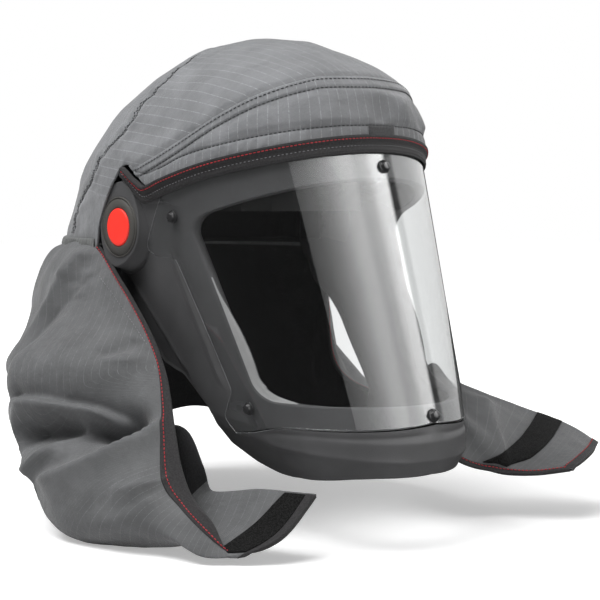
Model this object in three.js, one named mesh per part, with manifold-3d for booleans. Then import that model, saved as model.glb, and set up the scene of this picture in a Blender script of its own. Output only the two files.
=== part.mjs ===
// Respirator hood: cloth hood and bib on a hard visor frame with a clear lens film.
// Millimetres, +Z up, the wearer faces -Y, the wearer's right side is -X.
// The origin is the midpoint of the axis through the two side pivots.
import * as THREE from 'three';
import { mergeVertices } from 'three/addons/utils/BufferGeometryUtils.js';
import Module from 'manifold-3d';

const kernel = await Module();
kernel.setup();

const DEG = Math.PI / 180;
const RIGHT_ANGLE = Math.PI / 2;

// Walls and gaps
const CLOTH = 1.6;
const TAPE = 1.2;
const FRAME_WALL = 2.6;
const WINDOW_LIP = 8;
const LENS_WALL = 1;
const LENS_LIFT = 0.2;
const GAP = 0.4;

// Visor: a ruled surface between the upper and the lower row of lens studs
const UPPER_ROW = { half: 107, depth: 104.2, y: -62.8, z: 8.4, rise: 35.4 };
const LOWER_ROW = { half: 86.6, depth: 93.2, y: -123.7, z: -126, rise: -4.1 };
const ARM_RADIUS = 100;
const ARM_TOE_IN = 0.1;
const CHIN_START = 1.1;
const CHIN_CREASE = 1.18;
const CHIN_PULL = 0.04;
const CHIN_TUCK = 1.35;

// Window in the frame
const WINDOW_ANGLE = 84;
const WINDOW_TOP = 0.045;
const WINDOW_BOTTOM = 0.952;

// Outlines on the visor surface, by angle from the front or by place down the visor
const FRAME_TOP = [
  { angle: 0, at: -0.09 },
  { angle: 60, at: -0.11 },
  { angle: 102, at: -0.13 },
  { angle: 109, at: -0.21 },
  { angle: 114, at: -0.31 },
  { angle: 150, at: -0.34 },
];
const FRAME_BOTTOM = [
  { angle: 0, at: 1.24 },
  { angle: 30, at: 1.253 },
  { angle: 52, at: 1.268 },
  { angle: 62, at: 1.3 },
  { angle: 90, at: 1.34 },
  { angle: 125, at: 1.314 },
];
const FRAME_REAR = [
  { at: -0.4, angle: 117 },
  { at: -0.25, angle: 126 },
  { at: -0.1, angle: 133 },
  { at: 0.05, angle: 138.5 },
  { at: 0.18, angle: 141 },
  { at: 0.44, angle: 137 },
  { at: 0.86, angle: 131 },
  { at: 1.04, angle: 127 },
  { at: 1.34, angle: 121 },
];
const LENS_TOP = [
  { angle: 0, at: -0.075 },
  { angle: 50, at: -0.09 },
  { angle: 90, at: -0.125 },
  { angle: 120, at: -0.1 },
];
const LENS_BOTTOM = [
  { angle: 0, at: 1.036 },
  { angle: 22, at: 1.05 },
  { angle: 60, at: 1.066 },
  { angle: 76, at: 1.08 },
  { angle: 97, at: 1.145 },
  { angle: 112, at: 1.19 },
];
const LENS_REAR = [
  { at: -0.13, angle: 92 },
  { at: -0.04, angle: 104.5 },
  { at: 0.08, angle: 116 },
  { at: 0.14, angle: 112 },
  { at: 0.2, angle: 100 },
  { at: 0.5, angle: 98.7 },
  { at: 0.9, angle: 98 },
  { at: 1.02, angle: 106 },
  { at: 1.1, angle: 111 },
  { at: 1.19, angle: 107 },
];
const STUDS = [
  { name: 'stud_top', angle: 0, at: 0 },
  { name: 'stud_bottom', angle: 0, at: 1 },
  { name: 'stud_upper_right', angle: -90, at: 0 },
  { name: 'stud_upper_left', angle: 90, at: 0 },
  { name: 'stud_lower_right', angle: -90, at: 1 },
  { name: 'stud_lower_left', angle: 90, at: 1 },
];
const STUD_RADIUS = 4.6;
const STUD_HEIGHT = 2.6;

// Face binding: its lower and its upper edge on the visor surface, front first
const BINDING_PATH = [
  { lowAngle: 0, lowAt: -0.055, highAngle: 0, highAt: -0.112 },
  { lowAngle: 17, lowAt: -0.057, highAngle: 17, highAt: -0.115 },
  { lowAngle: 34, lowAt: -0.062, highAngle: 34, highAt: -0.121 },
  { lowAngle: 50, lowAt: -0.073, highAngle: 50, highAt: -0.134 },
  { lowAngle: 68, lowAt: -0.093, highAngle: 68, highAt: -0.157 },
  { lowAngle: 87, lowAt: -0.112, highAngle: 86, highAt: -0.18 },
  { lowAngle: 104.5, lowAt: -0.14, highAngle: 98.5, highAt: -0.205 },
  { lowAngle: 109, lowAt: -0.25, highAngle: 103.5, highAt: -0.28 },
  { lowAngle: 113, lowAt: -0.362, highAngle: 107.5, highAt: -0.377 },
];
const BINDING_LIFT = 2;

// Pivot boss, disc and cap on each side
const BOSS = { inner: 97.5, outer: 110.5, radius: 25.5, tipRadius: 10, tipUp: 22.5, round: 2.5 };
const DISC = { radius: 22, thick: 2.2, dish: 1.2 };
const CAP = { radius: 13.5, thick: 2.4, dome: 1.2 };
const PIVOT_TURN = 6 * DEG;

// Crown cloth: level sections from the apex down
const APEX = { y: -28, z: 141.5 };
const CROWN_LEVELS = [
  { z: 141.5, half: 0, front: 0, back: 0, square: 2 },
  { z: 138.5, half: 24, front: 34, back: 31, square: 2 },
  { z: 134, half: 41, front: 59, back: 43, square: 2 },
  { z: 123, half: 63, front: 93, back: 53, square: 2.1 },
  { z: 110, half: 81, front: 119, back: 69, square: 2.25 },
  { z: 97, half: 93, front: 132, back: 91, square: 2.3 },
  { z: 79, half: 103, front: 137, back: 117, square: 2.3 },
  { z: 56, half: 110, front: 138.5, back: 140, square: 2.35 },
  { z: 33, half: 112, front: 138.5, back: 156, square: 2.45 },
  { z: -22, half: 112, front: 138.5, back: 185, square: 2.55 },
];
const CROWN_EDGE = [
  { angle: 0, z: 64.9 },
  { angle: 14, z: 63.7 },
  { angle: 28, z: 59.9 },
  { angle: 42, z: 54.5 },
  { angle: 57.6, z: 47 },
  { angle: 74, z: 37.4 },
  { angle: 85.5, z: 31 },
  { angle: 92, z: 37.8 },
  { angle: 99, z: 46.5 },
  { angle: 103, z: 44 },
  { angle: 107, z: 36 },
  { angle: 111, z: 29.5 },
  { angle: 114, z: 19 },
  { angle: 117, z: 1 },
  { angle: 119.5, z: -16.5 },
  { angle: 180, z: -16.5 },
];
const BROW_SEAM = [
  { angle: 0, z: 108 },
  { angle: 18, z: 106.5 },
  { angle: 25.5, z: 103.3 },
  { angle: 40, z: 93.2 },
  { angle: 53, z: 80.3 },
  { angle: 70, z: 61 },
  { angle: 85, z: 48.5 },
  { angle: 94, z: 43.5 },
  { angle: 99, z: 46.5 },
];
const BROW_END = 97;
const SEAM_GAP = 0.012;

// Neck elastic round the back
const ELASTIC = { start: 121, low: -18.6, high: -8.4, lift: 1 };

// Bib: one row per section of the band, from the end of the right flap round the back to the left flap
const BIB_SECTIONS = [
  {
    name: 'right_end', edge: [-132, -153, -221], swell: [-119, -171, -216],
    fall: [-101, -180, -203], hem: [-78, -183, -181],
  },
  {
    name: 'right_tip', edge: [-136, -142, -201], swell: [-148, -142, -219],
    fall: [-124, -147, -224], hem: [-92, -142, -181],
  },
  {
    name: 'right_roll', edge: [-136, -118, -185], swell: [-158, -112, -206],
    fall: [-141, -103, -221], hem: [-104, -100, -186],
  },
  {
    name: 'right_turn', edge: [-135, -104, -166], swell: [-168, -76, -196],
    fall: [-156, -50, -222], hem: [-110, -99, -167],
  },
  {
    name: 'right_front', edge: [-131, -92, -144], swell: [-167, -46, -161],
    fall: [-172, 2, -204], hem: [-114, -82, -142],
  },
  {
    name: 'right_side', edge: [-121, -68, -104], swell: [-157, -3, -124],
    fall: [-173, 50, -170], hem: [-132, 24, -172],
  },
  {
    name: 'right_rear', edge: [-116, -43, -76], swell: [-144, 23, -95],
    fall: [-161, 80, -137], hem: [-130, 102, -170],
  },
  {
    name: 'right_pivot', edge: [-112, -2, -40], swell: [-128, 50, -72],
    fall: [-143, 96, -124], hem: [-108, 140, -172],
  },
  {
    name: 'right_neck', edge: [-106, 38, -20], swell: [-121, 74, -60],
    fall: [-130, 117, -118], hem: [-88, 158, -173],
  },
  {
    name: 'back_right', edge: [-87, 99, -20], swell: [-98, 124, -62],
    fall: [-95, 149, -120], hem: [-60, 170, -175],
  },
  {
    name: 'back_near', edge: [-46, 143, -20], swell: [-50, 157, -62],
    fall: [-48, 171, -120], hem: [-30, 178, -176],
  },
  {
    name: 'back', edge: [0, 153, -20], swell: [0, 165, -62],
    fall: [0, 177, -120], hem: [0, 180, -177],
  },
  {
    name: 'back_far', edge: [46, 143, -20], swell: [50, 156, -62],
    fall: [50, 169, -120], hem: [38, 174, -176],
  },
  {
    name: 'back_left', edge: [87, 99, -20], swell: [98, 122, -60],
    fall: [101, 141, -113], hem: [82, 155, -167],
  },
  {
    name: 'left_neck', edge: [106, 38, -20], swell: [122, 67, -58],
    fall: [136, 95, -113], hem: [130, 102, -172],
  },
  {
    name: 'left_pivot', edge: [111, 15, -34], swell: [133, 40, -66],
    fall: [151, 55, -110], hem: [155, 42, -165],
  },
  {
    name: 'left_rear', edge: [120, 8, -121], swell: [133, -2, -135],
    fall: [147, -22, -141], hem: [160, -40, -141],
  },
  {
    name: 'left_front', edge: [104, -115, -150], swell: [118, -100, -132],
    fall: [134, -90, -120], hem: [148, -82, -114],
  },
  {
    name: 'left_root', edge: [90, -158, -177], swell: [104, -153, -158],
    fall: [119, -139, -141], hem: [135, -120, -126],
  },
  {
    name: 'left_strip', edge: [115, -170, -188], swell: [140, -172, -172],
    fall: [165, -167, -160], hem: [190, -158, -152],
  },
  {
    name: 'left_tip', edge: [132, -196, -189], swell: [157, -197, -178],
    fall: [182, -191, -169], hem: [205, -181, -163],
  },
  {
    name: 'left_end', edge: [150, -222, -184], swell: [172, -217, -180],
    fall: [195, -208, -176], hem: [215, -197, -173],
  },
];
const BIB_FOLDS = [
  { name: 'ridge', fromSection: 3.2, fromDepth: 0.2, toSection: 5.4, toDepth: 0.55, width: 12, height: 5 },
  { name: 'ledge', fromSection: 5.0, fromDepth: 0.5, toSection: 8.4, toDepth: 0.64, width: 15, height: 8 },
  { name: 'hollow', fromSection: 4.6, fromDepth: 0.68, toSection: 8.0, toDepth: 0.8, width: 14, height: -6 },
  { name: 'neck_fold', fromSection: 7.2, fromDepth: 0.1, toSection: 6.4, toDepth: 0.6, width: 12, height: 5 },
  { name: 'back_fold', fromSection: 10.2, fromDepth: 0.2, toSection: 9.6, toDepth: 1, width: 14, height: 6 },
  { name: 'far_fold', fromSection: 13, fromDepth: 0.1, toSection: 14.6, toDepth: 1, width: 14, height: 6 },
  { name: 'flap_fold', fromSection: 17.4, fromDepth: 0.6, toSection: 19, toDepth: 0.1, width: 11, height: 4 },
];
const SECTION_STEP = 46;
const SECTION_DEPTH = 150;
const PUFF = { height: 8, depth: 0.09 };
const GATHER = { first: 7.4, last: 14.6, each: 1.9, height: 2.2, reach: 0.3 };
const EDGE_BAND = 0.065;
const STRIP_LIFT = 0.95;
const RIGHT_EDGE_END = 21;
const LEFT_EDGE_START = 51;
const HOOK = { first: 0, last: 2, top: 1, bottom: 10 };
const LOOP = { first: 57, last: 59, top: 1, bottom: 10 };
const LABEL = { from: -5.2, to: 5.2, low: 65, high: 73, lift: 0.5 };

// Hidden head band
const BAND = { half: 82, front: -104, back: 92, square: 2.3, low: 12, high: 38, wall: 2.5 };
const LUG = { half: 11, low: -12, high: 16, pin: 6, reach: 94 };

// Faceting
const CROWN_GRID = { columns: 48, rows: 10 };
const BROW_GRID = { columns: 22, rows: 4 };
const BIB_GRID = { perSection: 3, rows: 10 };
const WINDOW_COLUMNS = 12;
const ARM_COLUMNS = 4;
const WINDOW_ROWS = 6;
const LENS_ROWS = 8;
const LENS_ARM_COLUMNS = 2;
const ROUND_SIDES = 22;
const STUD_SIDES = 10;

// Value of one column of a table at a place, by a smooth curve through the rows
function lookup(table, key, place, column) {
  const last = table.length - 1;
  const rising = table[last][key] > table[0][key];
  const low = rising ? table[0][key] : table[last][key];
  const high = rising ? table[last][key] : table[0][key];
  const x = Math.min(Math.max(place, low), high);
  let i = 0;
  while (i < last - 1 && (rising ? x > table[i + 1][key] : x < table[i + 1][key])) {
    i += 1;
  }
  const slope = (a, b) => (table[b][column] - table[a][column]) / (table[b][key] - table[a][key]);
  const tangent = (k) => {
    if (k === 0 || k === last) {
      return k === 0 ? slope(0, 1) : slope(last - 1, last);
    }
    const before = slope(k - 1, k);
    const after = slope(k, k + 1);
    return before * after <= 0 ? 0 : (2 * before * after) / (before + after);
  };
  const span = table[i + 1][key] - table[i][key];
  const f = (x - table[i][key]) / span;
  const a = table[i][column];
  const b = table[i + 1][column];
  const h00 = 2 * f ** 3 - 3 * f ** 2 + 1;
  const h10 = f ** 3 - 2 * f ** 2 + f;
  const h01 = 3 * f ** 2 - 2 * f ** 3;
  const h11 = f ** 3 - f ** 2;
  return h00 * a + h10 * span * tangent(i) + h01 * b + h11 * span * tangent(i + 1);
}

// Point of a surface moved along its normal; side is +1 or -1 and points out of the hood
function lifted(surface, u, v, distance, side) {
  const step = 1e-3;
  const across = surface(u + step, v).sub(surface(u - step, v));
  const down = surface(u, v + step).sub(surface(u, v - step));
  const normal = across.cross(down).normalize().multiplyScalar(side);
  return surface(u, v).addScaledVector(normal, distance);
}

// Closed wall from a grid of outer and inner points; cells that are open leave a hole
function wall({ columns, rows, outer, inner, wrap = false, pole = false, open = () => false }) {
  const across = wrap ? columns : columns + 1;
  const points = [];
  const places = new Map();
  const vertex = (layer, i, j) => {
    const column = pole && j === rows ? 0 : i % across;
    const id = `${layer},${column},${j}`;
    if (!places.has(id)) {
      places.set(id, points.length);
      points.push(layer === 0 ? outer(column, j) : inner(column, j));
    }
    return places.get(id);
  };
  const faces = [];
  const face = (a, b, c) => {
    if (a !== b && b !== c && c !== a) {
      faces.push(a, b, c);
    }
  };
  const solid = (i, j) => {
    const column = wrap ? (i + columns) % columns : i;
    const inside = column >= 0 && column < columns && j >= 0 && j < rows;
    return inside && !open(column, j);
  };
  const quad = (a, b, c, d) => {
    face(a, b, c);
    face(a, c, d);
  };
  for (let j = 0; j < rows; j += 1) {
    for (let i = 0; i < columns; i += 1) {
      if (!solid(i, j)) {
        continue;
      }
      const ring = [[i, j], [i + 1, j], [i + 1, j + 1], [i, j + 1]];
      const front = ring.map(([a, b]) => vertex(0, a, b));
      const rear = ring.map(([a, b]) => vertex(1, a, b));
      quad(front[0], front[1], front[2], front[3]);
      quad(rear[3], rear[2], rear[1], rear[0]);
      const beside = [[i, j - 1], [i + 1, j], [i, j + 1], [i - 1, j]];
      beside.forEach(([a, b], k) => {
        if (!solid(a, b) && !(pole && b === rows)) {
          const n = (k + 1) % 4;
          quad(front[n], front[k], rear[k], rear[n]);
        }
      });
    }
  }
  return outwards(points, faces);
}

// Geometry with its faces turned outwards
function outwards(points, faces) {
  let volume = 0;
  const cross = new THREE.Vector3();
  for (let k = 0; k < faces.length; k += 3) {
    cross.crossVectors(points[faces[k + 1]], points[faces[k + 2]]);
    volume += points[faces[k]].dot(cross);
  }
  const turned = volume < 0 ? faces.slice().reverse() : faces;
  const geometry = new THREE.BufferGeometry();
  geometry.setAttribute('position', new THREE.Float32BufferAttribute(points.flatMap((p) => p.toArray()), 3));
  geometry.setIndex(turned);
  return geometry;
}

// Wall that lies on a surface between two distances from it
function patch(surface, side, { from, to, low, high, columns, rows, lift, thick }) {
  const place = (i, j) => [from + ((to - from) * i) / columns, low + ((high - low) * j) / rows];
  return wall({
    columns,
    rows,
    outer: (i, j) => lifted(surface, ...place(i, j), lift + thick, side),
    inner: (i, j) => lifted(surface, ...place(i, j), lift, side),
  });
}

// One row of the visor: half an ellipse round the front, straight arms behind it
function visorRow(row, angle, toe) {
  const bend = Math.min(Math.max(angle, -RIGHT_ANGLE), RIGHT_ANGLE);
  const reach = (Math.abs(angle) - Math.abs(bend)) * ARM_RADIUS;
  const length = Math.hypot(row.depth, row.rise);
  return new THREE.Vector3(
    row.half * Math.sin(bend) - Math.sign(angle) * toe * reach,
    row.y - row.depth * Math.cos(bend) + (reach * row.depth) / length,
    row.z + row.rise * Math.cos(bend) - (reach * row.rise) / length,
  );
}

// Visor surface by angle from the front (radians) and place from the upper (0) to the lower studs (1)
function visor(angle, at) {
  const toe = ARM_TOE_IN * Math.min(1, Math.max(0.3, 1 - at * 0.7));
  const upper = visorRow(UPPER_ROW, angle, toe);
  return upper.lerp(visorRow(LOWER_ROW, angle, toe), at);
}

// Frame surface: the visor surface with the chin guard drawn in below the lens
function frameSurface(angle, at) {
  const point = visor(angle, at);
  const crease = Math.min(Math.max(at - CHIN_START, 0), CHIN_CREASE - CHIN_START);
  const tuck = Math.max(at - CHIN_CREASE, 0);
  const pull = (crease / (CHIN_CREASE - CHIN_START)) * CHIN_PULL + tuck * CHIN_TUCK;
  const centre = UPPER_ROW.y + (LOWER_ROW.y - UPPER_ROW.y) * at;
  const forward = Math.max(0, centre - point.y);
  point.x *= 1 - pull * 0.6;
  point.y += forward * pull;
  return point;
}

const byAngle = (table, angle) => lookup(table, 'angle', Math.abs(angle) / DEG, 'at');
const byPlace = (table, at) => lookup(table, 'at', at, 'angle') * DEG;

// Frame: grid with the window left open and a deeper lip round the window
function frameGeometry() {
  const half = WINDOW_COLUMNS + ARM_COLUMNS;
  const firstWindow = ARM_COLUMNS;
  const lastWindow = ARM_COLUMNS + 2 * WINDOW_COLUMNS;
  const windowTop = 2;
  const windowBottom = windowTop + WINDOW_ROWS;
  const below = [1.03, CHIN_START, CHIN_CREASE];
  const rows = windowBottom + below.length + 1;
  const place = (i, j) => {
    const column = i - half;
    const inWindow = Math.abs(column) <= WINDOW_COLUMNS;
    const side = Math.sign(column);
    const sweep = (Math.abs(column) - WINDOW_COLUMNS) / ARM_COLUMNS;
    const angleAt = (at) => {
      if (inWindow) {
        return (column / WINDOW_COLUMNS) * WINDOW_ANGLE * DEG;
      }
      const edge = WINDOW_ANGLE * DEG;
      return side * (edge + sweep * (byPlace(FRAME_REAR, at) - edge));
    };
    const rough = angleAt(0.3);
    const top = byAngle(FRAME_TOP, rough);
    const bottom = byAngle(FRAME_BOTTOM, angleAt(1.3));
    let at = bottom;
    if (j < windowTop) {
      at = top + ((WINDOW_TOP - top) * j) / windowTop;
    } else if (j <= windowBottom) {
      at = WINDOW_TOP + ((WINDOW_BOTTOM - WINDOW_TOP) * (j - windowTop)) / WINDOW_ROWS;
    } else if (j < rows) {
      at = below[j - windowBottom - 1];
    }
    let angle = angleAt(at);
    const corner = Math.abs(column) === WINDOW_COLUMNS;
    if (corner && (j === windowTop || j === windowBottom)) {
      angle *= 0.955;
      at += j === windowTop ? 0.03 : -0.035;
    }
    return [angle, at];
  };
  const onWindow = (i, j) => i >= firstWindow && i <= lastWindow && j >= windowTop && j <= windowBottom
    && (i === firstWindow || i === lastWindow || j === windowTop || j === windowBottom);
  const geometry = wall({
    columns: 2 * half,
    rows,
    outer: (i, j) => lifted(frameSurface, ...place(i, j), -GAP - 0.2, -1),
    inner: (i, j) => {
      const depth = onWindow(i, j) ? WINDOW_LIP : FRAME_WALL;
      return lifted(frameSurface, ...place(i, j), -GAP - 0.2 - depth, -1);
    },
    open: (i, j) => i >= firstWindow && i < lastWindow && j >= windowTop && j < windowBottom,
  });
  return geometry;
}

// Lens: a film over the frame with tabs at its corners
function lensGeometry() {
  const half = WINDOW_COLUMNS + LENS_ARM_COLUMNS;
  const edge = WINDOW_ANGLE * DEG;
  const place = (i, j) => {
    const column = i - half;
    const side = Math.sign(column);
    const inWindow = Math.abs(column) <= WINDOW_COLUMNS;
    const sweep = (Math.abs(column) - WINDOW_COLUMNS) / LENS_ARM_COLUMNS;
    let angle = (column / WINDOW_COLUMNS) * edge;
    let at = j / LENS_ROWS;
    for (let turn = 0; turn < 4; turn += 1) {
      const top = byAngle(LENS_TOP, angle);
      const bottom = byAngle(LENS_BOTTOM, angle);
      at = top + ((bottom - top) * j) / LENS_ROWS;
      angle = inWindow ? angle : side * (edge + sweep * (byPlace(LENS_REAR, at) - edge));
    }
    return [angle, at];
  };
  return wall({
    columns: 2 * half,
    rows: LENS_ROWS,
    outer: (i, j) => lifted(visor, ...place(i, j), LENS_LIFT + LENS_WALL, -1),
    inner: (i, j) => lifted(visor, ...place(i, j), LENS_LIFT, -1),
  });
}

// Binding round the face edge with a short return above each pivot
function bindingGeometry() {
  const steps = 3 * (BINDING_PATH.length - 1);
  const columns = 2 * steps;
  const rows = BINDING_PATH.map((row, index) => ({ index, ...row }));
  const place = (i, j) => {
    const along = (Math.abs(i - steps) / steps) * (rows.length - 1);
    const side = Math.sign(i - steps);
    const low = [lookup(rows, 'index', along, 'lowAngle'), lookup(rows, 'index', along, 'lowAt')];
    const high = [lookup(rows, 'index', along, 'highAngle'), lookup(rows, 'index', along, 'highAt')];
    const f = j;
    return [side * (low[0] + (high[0] - low[0]) * f) * DEG, low[1] + (high[1] - low[1]) * f];
  };
  return wall({
    columns,
    rows: 1,
    outer: (i, j) => lifted(visor, ...place(i, j), BINDING_LIFT + CLOTH, -1),
    inner: (i, j) => lifted(visor, ...place(i, j), BINDING_LIFT, -1),
  });
}

// Reach of the crown cloth from its axis, by angle from the front (degrees) and height
function crownReach(angle, z) {
  const drop = Math.sqrt(Math.max(APEX.z - z, 0));
  const levels = CROWN_LEVELS.map((row) => ({ ...row, drop: Math.sqrt(APEX.z - row.z) }));
  const half = lookup(levels, 'drop', drop, 'half');
  const ahead = Math.cos(angle * DEG) > 0;
  const length = lookup(levels, 'drop', drop, ahead ? 'front' : 'back');
  const power = lookup(levels, 'drop', drop, 'square');
  const sine = Math.abs(Math.sin(angle * DEG));
  const cosine = Math.abs(Math.cos(angle * DEG));
  if (half < 1e-9) {
    return 0;
  }
  return 1 / ((sine / half) ** power + (cosine / length) ** power) ** (1 / power);
}

function crownPoint(angle, z) {
  const reach = crownReach(angle, z);
  return new THREE.Vector3(reach * Math.sin(angle * DEG), APEX.y - reach * Math.cos(angle * DEG), z);
}

const turnAngle = (angle) => Math.abs(((((angle + 180) % 360) + 360) % 360) - 180);
const edgeHeight = (angle) => lookup(CROWN_EDGE, 'angle', turnAngle(angle), 'z');

// Crown surface by angle (degrees) and climb from the cloth's edge (0) to the apex (1)
function crown(angle, climb) {
  const drop = Math.sqrt(APEX.z - edgeHeight(angle)) * (1 - climb);
  return crownPoint(angle, APEX.z - drop * drop);
}

// Climb at which the brow seam runs
function seamClimb(angle) {
  const turn = turnAngle(angle);
  if (turn >= BROW_SEAM[BROW_SEAM.length - 1].angle) {
    return 0;
  }
  const z = lookup(BROW_SEAM, 'angle', turn, 'z');
  return Math.max(0, 1 - Math.sqrt((APEX.z - z) / (APEX.z - edgeHeight(angle))));
}

function crownGeometry() {
  const { columns, rows } = CROWN_GRID;
  const place = (i, j) => {
    const angle = (360 * i) / columns;
    const start = seamClimb(angle) + (turnAngle(angle) < 99 ? SEAM_GAP / 2 : 0);
    return [angle, start + ((1 - start) * j) / rows];
  };
  const at = (i, j, depth) => {
    const [angle, climb] = place(i, j);
    if (climb > 0.995) {
      return new THREE.Vector3(0, APEX.y, APEX.z - depth);
    }
    return lifted(crown, angle, climb, -depth, 1);
  };
  return wall({
    columns,
    rows,
    outer: (i, j) => at(i, j, 0),
    inner: (i, j) => at(i, j, CLOTH),
    wrap: true,
    pole: true,
  });
}

function browGeometry() {
  const { columns, rows } = BROW_GRID;
  const place = (i, j) => {
    const angle = BROW_END * ((2 * i) / columns - 1);
    return [angle, ((seamClimb(angle) - SEAM_GAP / 2) * j) / rows];
  };
  return wall({
    columns,
    rows,
    outer: (i, j) => lifted(crown, ...place(i, j), 0, 1),
    inner: (i, j) => lifted(crown, ...place(i, j), -CLOTH, 1),
  });
}

// Elastic casing that covers the join of crown and bib
function elasticGeometry() {
  const ring = (angle, z) => crownPoint(angle, z);
  return patch(ring, 1, {
    from: ELASTIC.start,
    to: 360 - ELASTIC.start,
    low: ELASTIC.low,
    high: ELASTIC.high,
    columns: 30,
    rows: 1,
    lift: ELASTIC.lift,
    thick: CLOTH,
  });
}

function labelGeometry() {
  return patch((angle, z) => crownPoint(angle, z), 1, { ...LABEL, columns: 3, rows: 2, thick: TAPE });
}

const bibCurves = ['edge', 'swell', 'fall', 'hem'].map((part) => {
  const points = BIB_SECTIONS.map((row) => new THREE.Vector3(...row[part]));
  return new THREE.CatmullRomCurve3(points, false, 'centripetal');
});

// Smooth bib without its folds, by section number and depth from the edge (0) to the hem (1)
function bibBase(section, depth) {
  const last = BIB_SECTIONS.length - 1;
  const share = Math.min(Math.max(section / last, 0), 1);
  const spare = section / last - share;
  const points = bibCurves.map((curve) => {
    const point = curve.getPoint(share);
    return spare === 0 ? point : point.addScaledVector(curve.getTangent(share), spare * SECTION_STEP * last);
  });
  const across = new THREE.CatmullRomCurve3(points, false, 'centripetal');
  const t = Math.min(Math.max(depth, 0), 1);
  const over = depth - t;
  const point = across.getPoint(t);
  return over === 0 ? point : point.addScaledVector(across.getTangent(t), over * SECTION_DEPTH);
}

// Height of the folds and gathers at a place on the bib
function bibFold(section, depth) {
  let height = 0;
  for (const fold of BIB_FOLDS) {
    const across = fold.toSection - fold.fromSection;
    const down = fold.toDepth - fold.fromDepth;
    const run = [across * SECTION_STEP, down * SECTION_DEPTH];
    const off = [(section - fold.fromSection) * SECTION_STEP, (depth - fold.fromDepth) * SECTION_DEPTH];
    const length = run[0] ** 2 + run[1] ** 2;
    const share = Math.min(Math.max((off[0] * run[0] + off[1] * run[1]) / length, 0), 1);
    const gap = Math.hypot(off[0] - run[0] * share, off[1] - run[1] * share);
    height += fold.height * Math.exp(-((gap / fold.width) ** 2));
  }
  const inGather = Math.min(Math.max((section - GATHER.first) * 2, 0), 1)
    * Math.min(Math.max((GATHER.last - section) * 2, 0), 1);
  const fade = Math.min(depth / 0.06, 1) * Math.exp(-depth / GATHER.reach);
  height += inGather * fade * GATHER.height * Math.cos(2 * Math.PI * GATHER.each * section);
  height += inGather * PUFF.height * (depth / PUFF.depth) * Math.exp(1 - depth / PUFF.depth);
  return height;
}

function bib(section, depth) {
  return lifted(bibBase, section, depth, bibFold(section, depth), 1);
}

// Wall on the bib between two columns and two rows of its grid
function onBib({ first, last, top, bottom, lift, thick }) {
  const { rows, perSection } = BIB_GRID;
  const depthAt = (j) => (j === 0 ? 0 : EDGE_BAND + ((1 - EDGE_BAND) * (j - 1)) / (rows - 1));
  const place = (i, j) => [(first + i) / perSection, depthAt(top + j)];
  return wall({
    columns: last - first,
    rows: bottom - top,
    outer: (i, j) => lifted(bib, ...place(i, j), lift + thick, 1),
    inner: (i, j) => lifted(bib, ...place(i, j), lift, 1),
  });
}

// Solid of revolution about +X from a profile of radius and height
function turnedX(profile, sides) {
  const outline = profile.map(([radius, height]) => new THREE.Vector2(radius, height));
  const lathe = new THREE.LatheGeometry(outline, sides);
  const geometry = mergeVertices(lathe.deleteAttribute('uv').deleteAttribute('normal'));
  geometry.rotateZ(-RIGHT_ANGLE);
  return geometry;
}

function discGeometry() {
  const { radius, thick, dish } = DISC;
  const rim = CAP.radius + 1.5;
  return turnedX([
    [0, 0], [radius, 0], [radius, thick * 0.5], [radius - 1, thick],
    [rim, thick], [rim - 0.8, thick - dish], [0, thick - dish],
  ], ROUND_SIDES);
}

function capGeometry() {
  const { radius, thick, dome } = CAP;
  return turnedX([
    [0, 0], [radius, 0], [radius, thick - dome],
    [radius * 0.9, thick - 0.4], [radius * 0.55, thick], [0, thick],
  ], ROUND_SIDES);
}

function studGeometry() {
  return turnedX([
    [0, 0], [STUD_RADIUS, 0], [STUD_RADIUS, STUD_HEIGHT * 0.45], [STUD_RADIUS * 0.75, STUD_HEIGHT * 0.88],
    [STUD_RADIUS * 0.3, STUD_HEIGHT], [0, STUD_HEIGHT],
  ], STUD_SIDES);
}

// Boss outline: a round body with a smaller round tip above it, seen from the side
function bossGeometry() {
  const { inner, outer, radius, tipRadius, tipUp, round } = BOSS;
  const shape = new THREE.Shape();
  const lean = Math.asin((radius - tipRadius) / tipUp);
  const body = radius - round;
  const tip = tipRadius - round;
  shape.absarc(0, 0, body, Math.PI - lean, 2 * Math.PI + lean, false);
  shape.absarc(0, tipUp, tip, lean, Math.PI - lean, false);
  shape.closePath();
  const geometry = new THREE.ExtrudeGeometry(shape, {
    depth: outer - inner - round,
    bevelEnabled: true,
    bevelThickness: round,
    bevelSize: round,
    bevelSegments: 2,
    curveSegments: 8,
  });
  geometry.rotateX(RIGHT_ANGLE);
  geometry.rotateZ(RIGHT_ANGLE);
  geometry.translate(inner - outer, 0, 0);
  return geometry;
}

// Moves a shape, made with the boss face at x = 0 and +X outwards, to its side of the hood
function toSide(geometry, side) {
  const placed = geometry.clone();
  if (side < 0) {
    placed.rotateZ(Math.PI);
  }
  placed.rotateZ(side * PIVOT_TURN);
  placed.translate(side * BOSS.outer, 0, 0);
  return placed;
}

function toManifold(geometry) {
  const bare = new THREE.BufferGeometry();
  bare.setAttribute('position', geometry.getAttribute('position').clone());
  if (geometry.index) {
    bare.setIndex(geometry.index.clone());
  }
  const merged = mergeVertices(bare, 1e-4);
  const mesh = new kernel.Mesh({
    numProp: 3,
    vertProperties: Float32Array.from(merged.getAttribute('position').array),
    triVerts: Uint32Array.from(merged.index.array),
  });
  mesh.merge();
  return new kernel.Manifold(mesh);
}

function fromManifold(solid) {
  const mesh = solid.getMesh();
  const geometry = new THREE.BufferGeometry();
  geometry.setAttribute('position', new THREE.Float32BufferAttribute(mesh.vertProperties, 3));
  geometry.setIndex(Array.from(mesh.triVerts));
  return geometry;
}

function joined(geometries) {
  const solids = geometries.map(toManifold);
  return fromManifold(kernel.Manifold.union(solids));
}

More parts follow.
